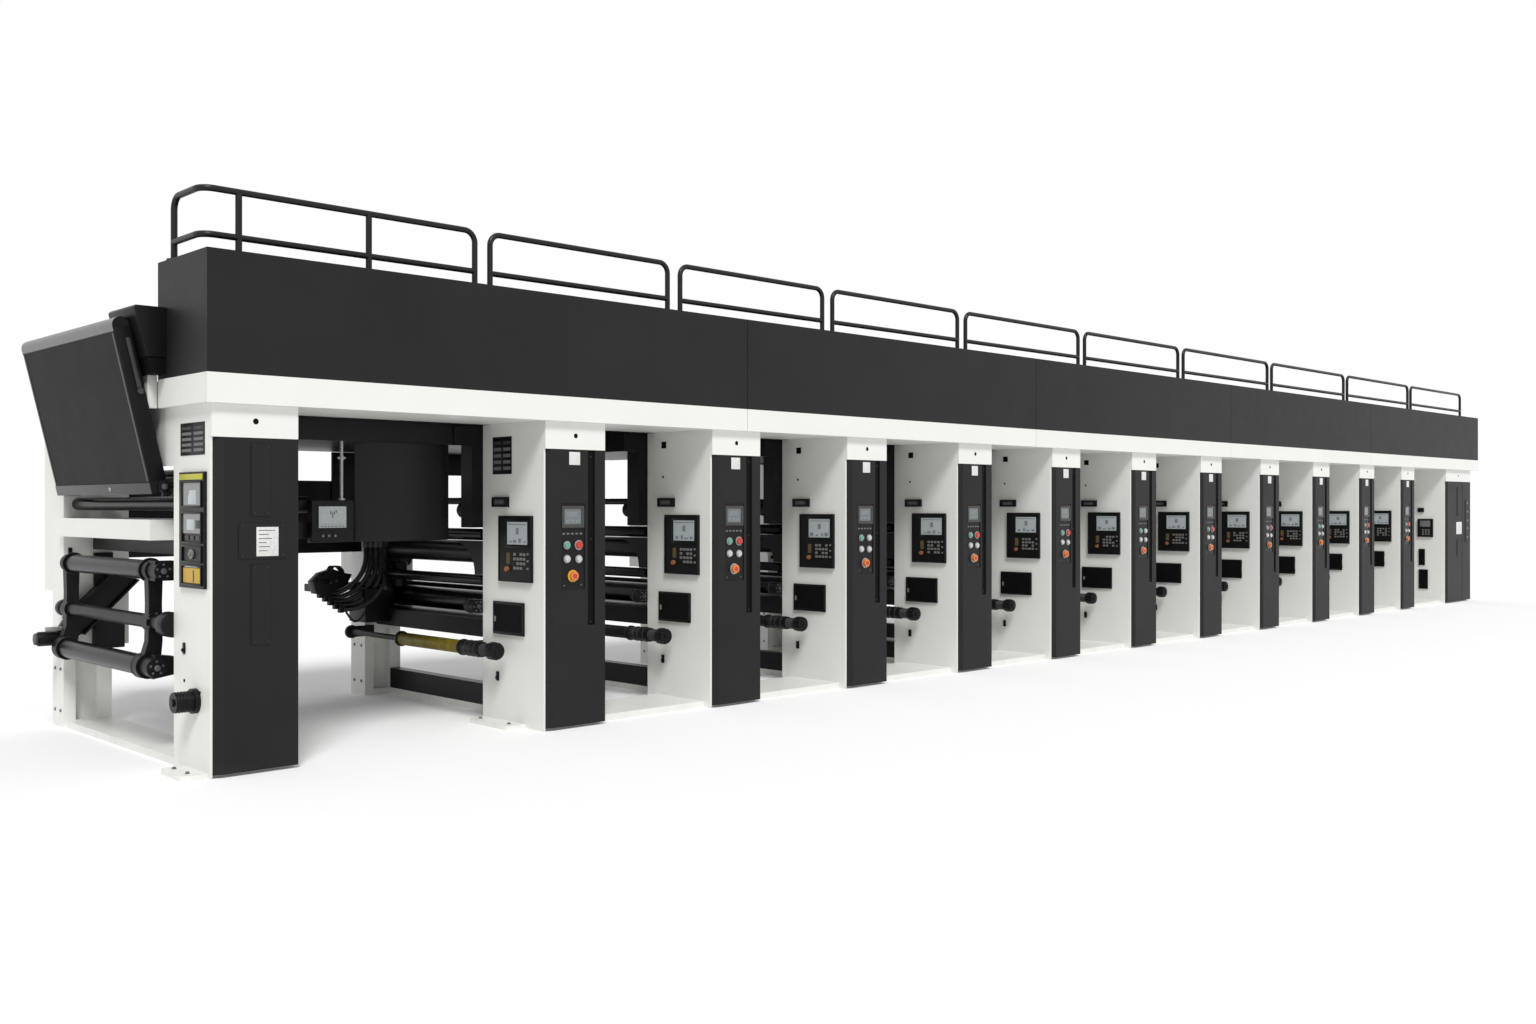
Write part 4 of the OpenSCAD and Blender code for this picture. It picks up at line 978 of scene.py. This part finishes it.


# ---- printing unit: bearing bolts, blade drum rings
def unitDetails():
    z = (span("gravure_cylinder_01", "z")[0] + span("gravure_cylinder_01", "z")[1]) / 2
    at = (firstCylinder[0] + firstCylinder[1]) / 2 - unitX
    bolts, drums = Stock(), Stock()
    for x in unitLefts:
        for dx in (-0.062, 0.062):
            for dz in (-0.062, 0.030):
                bolts.bolt((x + at + dx, unitDepth + 0.070, z + dz), "y", 0.008, 0.008, 1)
        drums.ring((x - 0.040, unitDepth + 0.085, 0.850), "y", 0.053, 0.004, 24, 6)
        drums.rod((x - 0.040, unitDepth - 0.012, 0.850), "y", 0.014, 0.018, 18, 0.003)
        for k in range(6):
            a = math.radians(60 * k)
            bolts.bolt((x - 0.040 + 0.036 * math.cos(a), unitDepth, 0.850 + 0.036 * math.sin(a)), "y", 0.005, 0.006)
    bolts.piece("unit_bearing_bolts", "boltSteel", "black_paint")
    drums.piece("blade_drum_rings", "railGrey", "black_paint")


# ---- foot bolts, rear doors, hood seams, rear cover bolts and rail flanges
def frameDetails():
    bolts, seams, grips, flanges, hoods, eyes = (Stock() for _ in range(6))
    for x in frameLefts:
        wide, low, high = 0.390, span("rear_gear_covers", "z")[0], span("rear_gear_covers", "z")[1]
        for dx in (0.03, wide - 0.03):
            for dz in (0.03, (high - low) / 2, high - low - 0.03):
                bolts.bolt((x + dx, gearBack, low + dz), "y", 0.009, 0.008, 1)
        seams.slab(x + 0.02, x + wide - 0.02, gearBack, gearBack + 0.002, (low + high) / 2 - 0.003, (low + high) / 2 + 0.003)
        grips.tube([(x + 0.06, gearBack, 1.40), (x + 0.06, gearBack + 0.035, 1.405), (x + 0.06, gearBack + 0.042, 1.44),
                    (x + 0.06, gearBack + 0.042, 1.50), (x + 0.06, gearBack + 0.035, 1.535), (x + 0.06, gearBack, 1.54)], 0.008)
        for dz in (0.12, 0.42):
            bolts.bolt((x, rearFront + 0.06, dz), "x", 0.010, 0.009)
            bolts.bolt((x, rearBack - 0.06, dz), "x", 0.010, 0.009)
    (h0, h1), hoodTop = span("dryer_hoods", "y"), span("dryer_hoods", "z")[1]
    hoodLefts = [(0.800, unitX - 0.260)] + [(x - 0.250, x + unitPitch - 0.560) for x in unitLefts]
    hoodLefts.append((lastX - 0.700, span("dryer_hoods", "x")[1]))
    for x0, x1 in hoodLefts:
        for x in (x0 + 0.06, (x0 + x1) / 2, x1 - 0.06):
            hoods.slab(x - 0.012, x + 0.012, span("header_shell", "y")[1] + 0.02, rearFront - 0.01, hoodTop, hoodTop + 0.006, 0.002)
            hoods.slab(x - 0.012, x + 0.012, h1, h1 + 0.006, beamLow + 0.05, beamLow + 0.66, 0.002)
        for x in (x0 + 0.16, x1 - 0.16):
            for y in (0.95, 2.35):
                eyes.ring((x, y, hoodTop + 0.030), "y", 0.020, 0.006, 20, 8)
                eyes.rod((x, y, hoodTop), "z", 0.012, 0.018, 16, 0.002)
        grips.tube([((x0 + x1) / 2 - 0.07, h1, beamLow + 0.30), ((x0 + x1) / 2 - 0.07, h1 + 0.035, beamLow + 0.30),
                    ((x0 + x1) / 2 + 0.07, h1 + 0.035, beamLow + 0.30), ((x0 + x1) / 2 + 0.07, h1, beamLow + 0.30)], 0.009)
    posts = [0.225, 1.080, 1.875] + [1.998, 3.618, 3.748, 5.390, 5.520, 7.320, 7.450, 9.465, 9.595, 11.650, 11.780,
                                     14.035, 14.165, 16.500, 16.630, 18.975, 19.105, lastX + 1.100]
    for x in posts:
        flanges.rod((x, 0.150, deckTop), "z", 0.010, 0.045, 24, 0.002)
        for k in range(4):
            a = math.radians(90 * k + 45)
            bolts.bolt((x + 0.033 * math.cos(a), 0.150 + 0.033 * math.sin(a), deckTop + 0.010), "z", 0.005, 0.006, 1)
    flanges.rod((0.0, 0.560, deckTop), "z", 0.010, 0.045, 24, 0.002)
    for x, y0, y1 in ((0.0, 0.060, 0.420), (unitX, 0.250, 0.780)):
        for y in (y0 + 0.080, y1 - 0.080):
            bolts.bolt((x - 0.085, y, 0.030), "z", 0.011, 0.012, 1)
    bolts.piece("frame_bolts", "boltSteel", "black_paint")
    seams.piece("rear_cover_seams", "recessDark", "white_paint")
    grips.piece("door_grips", "boltBlack", "black_paint")
    flanges.piece("rail_flanges", "railPaint", "black_paint")
    hoods.piece("hood_ribs", "blackPaint", "black_paint")
    eyes.piece("hood_lifting_eyes", "boltBlack", "black_paint")


# ---- hoses: ribbed hoses in a fan, their clamp, bracket and arm; motor fins
hoses = {"middle": (1.950, 1.190), "bend": (0.339, 0.307), "step": (0.030, -0.030, -0.030), "count": 5, "far": 2.450,
         "radius": 0.0185, "rib": 0.0045, "top": 1.310, "drops": ((0.035, 2.330), (0.085, 2.370))}


def hoseBundle():
    h = hoses
    (mx, mz), (a, b), (dx, dy, dz) = h["middle"], h["bend"], h["step"]
    runs, clamp, fittings, wires = (Stock() for _ in range(4))
    for k in range(h["count"]):
        cx, y, cz = mx + dx * k, h["far"] + dy * k, mz + dz * k
        path = [(cx + a, y, h["top"] - 0.007 * i) for i in range(int((h["top"] - cz) / 0.007))]
        path += [(cx + a * math.cos(math.radians(90 * i / 64)), y, cz - b * math.sin(math.radians(90 * i / 64)))
                 for i in range(65)]
        path += [(cx - 0.008 * i, y, cz - b) for i in range(1, 6)]
        runs.tube(path, h["radius"], 14, h["rib"])
        fittings.rod((cx + a, y, h["top"] - 0.050), "z", 0.050, h["radius"] + 0.006, 12, 0.003)
        fittings.rod((cx - 0.060, y, cz - b), "x", 0.035, h["radius"] + 0.006, 12, 0.003)
        clamp.slab(cx - 0.085, cx - 0.050, y - 0.026, y + 0.026, cz - b - 0.028, cz - b + 0.028, 0.006)
    # Clamp over the ends of the hoses, its wires, and the bracket that carries it.
    low, near = mz - b, h["far"] - 0.070
    clamp.profile([(mx - 0.130, low + 0.010), (mx - 0.020, low - 0.010), (mx + 0.150, low + 0.100), (mx + 0.180, low + 0.160),
                   (mx + 0.100, low + 0.170), (mx + 0.020, low + 0.205), (mx - 0.090, low + 0.175), (mx - 0.160, low + 0.110)],
                  near, h["far"] + 0.030, 0.006)
    clamp.slab(mx - 0.130, mx - 0.020, near - 0.020, h["far"] + 0.050, low + 0.080, low + 0.125, 0.006)
    for k in range(4):
        y = near + 0.005 + 0.026 * k
        wires.tube([(mx - 0.020, y, low + 0.170), (mx + 0.020, y, low + 0.225), (mx + 0.075, y + 0.005, low + 0.225),
                    (mx + 0.110, y + 0.010, low + 0.190), (mx + 0.115, y + 0.015, low + 0.120)], 0.007, 10)
        fittings.bolt((mx - 0.110 + 0.050 * k, near - 0.001, low + 0.100 + 0.012 * (k % 2)), "y", 0.009, 0.010, -1)
    loop = [(mx + 0.080 + 0.200 * k / 20, h["far"] + dy * 4, low - 0.110 - 0.105 * math.sin(math.pi * k / 20) - 0.020 * k / 20)
            for k in range(21)]
    wires.tube(loop, 0.009, 10)
    back = rearFront
    clamp.slab(unitX - 0.180, unitX + 0.250, h["far"] + dy * 5, back, h["top"], h["top"] + 0.060, 0.004)
    clamp.slab(mx + 0.265, unitX + 0.120, h["far"] + dy * 4 - 0.010, back, 0.640, 0.920, 0.008)
    clamp.slab(mx - 0.100, mx - 0.060, h["far"], back + 0.060, low + 0.020, low + 0.080, 0.003)
    clamp.slab(mx - 0.100, unitX, back + 0.010, back + 0.060, low + 0.020, low + 0.080, 0.003)
    for x, y in h["drops"]:
        runs.tube([(unitX + x, y, h["top"] - 0.007 * i) for i in range(58)], h["radius"] + 0.003, 14, h["rib"])
        fittings.rod((unitX + x, y, 0.905), "z", 0.030, h["radius"] + 0.010, 12, 0.003)
    clamp.rod((unitX + 0.165, h["far"] - 0.140, 0.930), "z", 0.210, 0.058, 28, 0.012)
    clamp.slab(unitX + 0.130, unitX + 0.200, h["far"] - 0.140, back, 0.960, 1.100, 0.006)
    ob = runs.piece("ribbed_hoses", "hoseRubber", "hose_rubber")
    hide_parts("hose_bundle")
    clamp.piece("hose_clamp", "blackPaint", "hose_rubber")
    fittings.piece("hose_fittings", "railGrey", "hose_rubber")
    wires.piece("clamp_wires", "hoseRubber", "hose_rubber")
    fins = Stock()
    mz, my = sum(span("brake_motor", "z")) / 2, sum(span("brake_motor", "y")) / 2
    for k in range(5):
        fins.ring((-0.050 - 0.018 * k, my, mz), "x", 0.060, 0.004, 28, 6)
    fins.rod((-0.146, my, mz), "x", 0.012, 0.022, 20, 0.003)
    fins.piece("brake_motor_fins", "blackPaint", "black_paint")


for makeGroup in (sidePanels, readouts, frontPanels, coverDetails, reelPanelDetails, plates, hatches, outfeedPanel,
                  cabinetShell, screenBox, bayFittings, inspectionDetails, unwindDetails, turretSupport, hingeArms, endPieces,
                  inkRollers, unitDetails, frameDetails, hoseBundle):
    makeGroup()
    print("made:", makeGroup.__name__)


# ---- stage, light and camera
stage = {"floorSize": 160.0, "floorTone": (0.93, 0.93, 0.93), "floorGlow": 0.06, "sun": 2.3, "sky": 0.52,
         "sunFrom": (-0.50, -0.75, 1.0), "sunSoftness": 18.0}


def makeStage():
    bpy.ops.mesh.primitive_plane_add(size=stage["floorSize"], location=(0, 0, 0))
    floor = bpy.context.object
    floor.name = "studio_floor"
    g = Graph("studioFloor")
    tone = g.blendColour(g.noise(0.8, 3, 0.5), rgb(*stage["floorTone"]), rgb(*(c * 0.985 for c in stage["floorTone"])))
    g.fixed(Specular_IOR_Level=0.0, Emission_Color=rgb(1, 1, 1), Emission_Strength=stage["floorGlow"])
    g.surface(Base_Color=tone, Roughness=0.8 + g.noise(2.0, 2, 0.5) * 0.1)
    floor.data.materials.append(g.material)
    world = bpy.data.worlds.new("studio")
    bpy.context.scene.world = world
    world.use_nodes = True
    tree = world.node_tree
    path = tree.nodes.new("ShaderNodeLightPath")
    level = tree.nodes.new("ShaderNodeMapRange")
    level.inputs["To Min"].default_value = stage["sky"]
    seen = path.outputs["Is Camera Ray"]
    for ray in ("Is Glossy Ray", "Is Transmission Ray"):
        either = tree.nodes.new("ShaderNodeMath")
        either.operation = "MAXIMUM"
        tree.links.new(seen, either.inputs[0])
        tree.links.new(path.outputs[ray], either.inputs[1])
        seen = either.outputs[0]
    tree.links.new(seen, level.inputs["Value"])
    back = tree.nodes["Background"]
    back.inputs["Color"].default_value = (1, 1, 1, 1)
    tree.links.new(level.outputs[0], back.inputs["Strength"])
    lamp = bpy.data.lights.new("softSun", "SUN")
    lamp.energy = stage["sun"]
    lamp.angle = math.radians(stage["sunSoftness"])
    sun = bpy.data.objects.new("softSun", lamp)
    sun.rotation_euler = Vector(stage["sunFrom"]).to_track_quat("Z", "Y").to_euler()
    bpy.context.scene.collection.objects.link(sun)


# Eye height, place and heading of the photograph, from the machine's corner.
view = {"place": (-3.2312, -7.8786, 1.6), "heading": 44.737, "focalPixels": 1347.4,
        "imageWidth": 1536, "horizonDrop": -5.85, "filmWidth": 36.0}


def makeCamera():
    data = bpy.data.cameras.new("photoCamera")
    data.sensor_width = view["filmWidth"]
    data.lens = view["focalPixels"] * view["filmWidth"] / view["imageWidth"]
    data.shift_y = view["horizonDrop"] / view["imageWidth"]
    data.clip_end = 500
    ob = bpy.data.objects.new("photoCamera", data)
    x, y, z = view["place"]
    ob.location = (originX + x, originY + y, z)
    ob.rotation_euler = (math.radians(90), 0, math.radians(-view["heading"]))
    bpy.context.scene.collection.objects.link(ob)
    bpy.context.scene.camera = ob


makeStage()
makeCamera()
bpy.context.scene.view_settings.view_transform = "Standard"
print("stage and camera made")
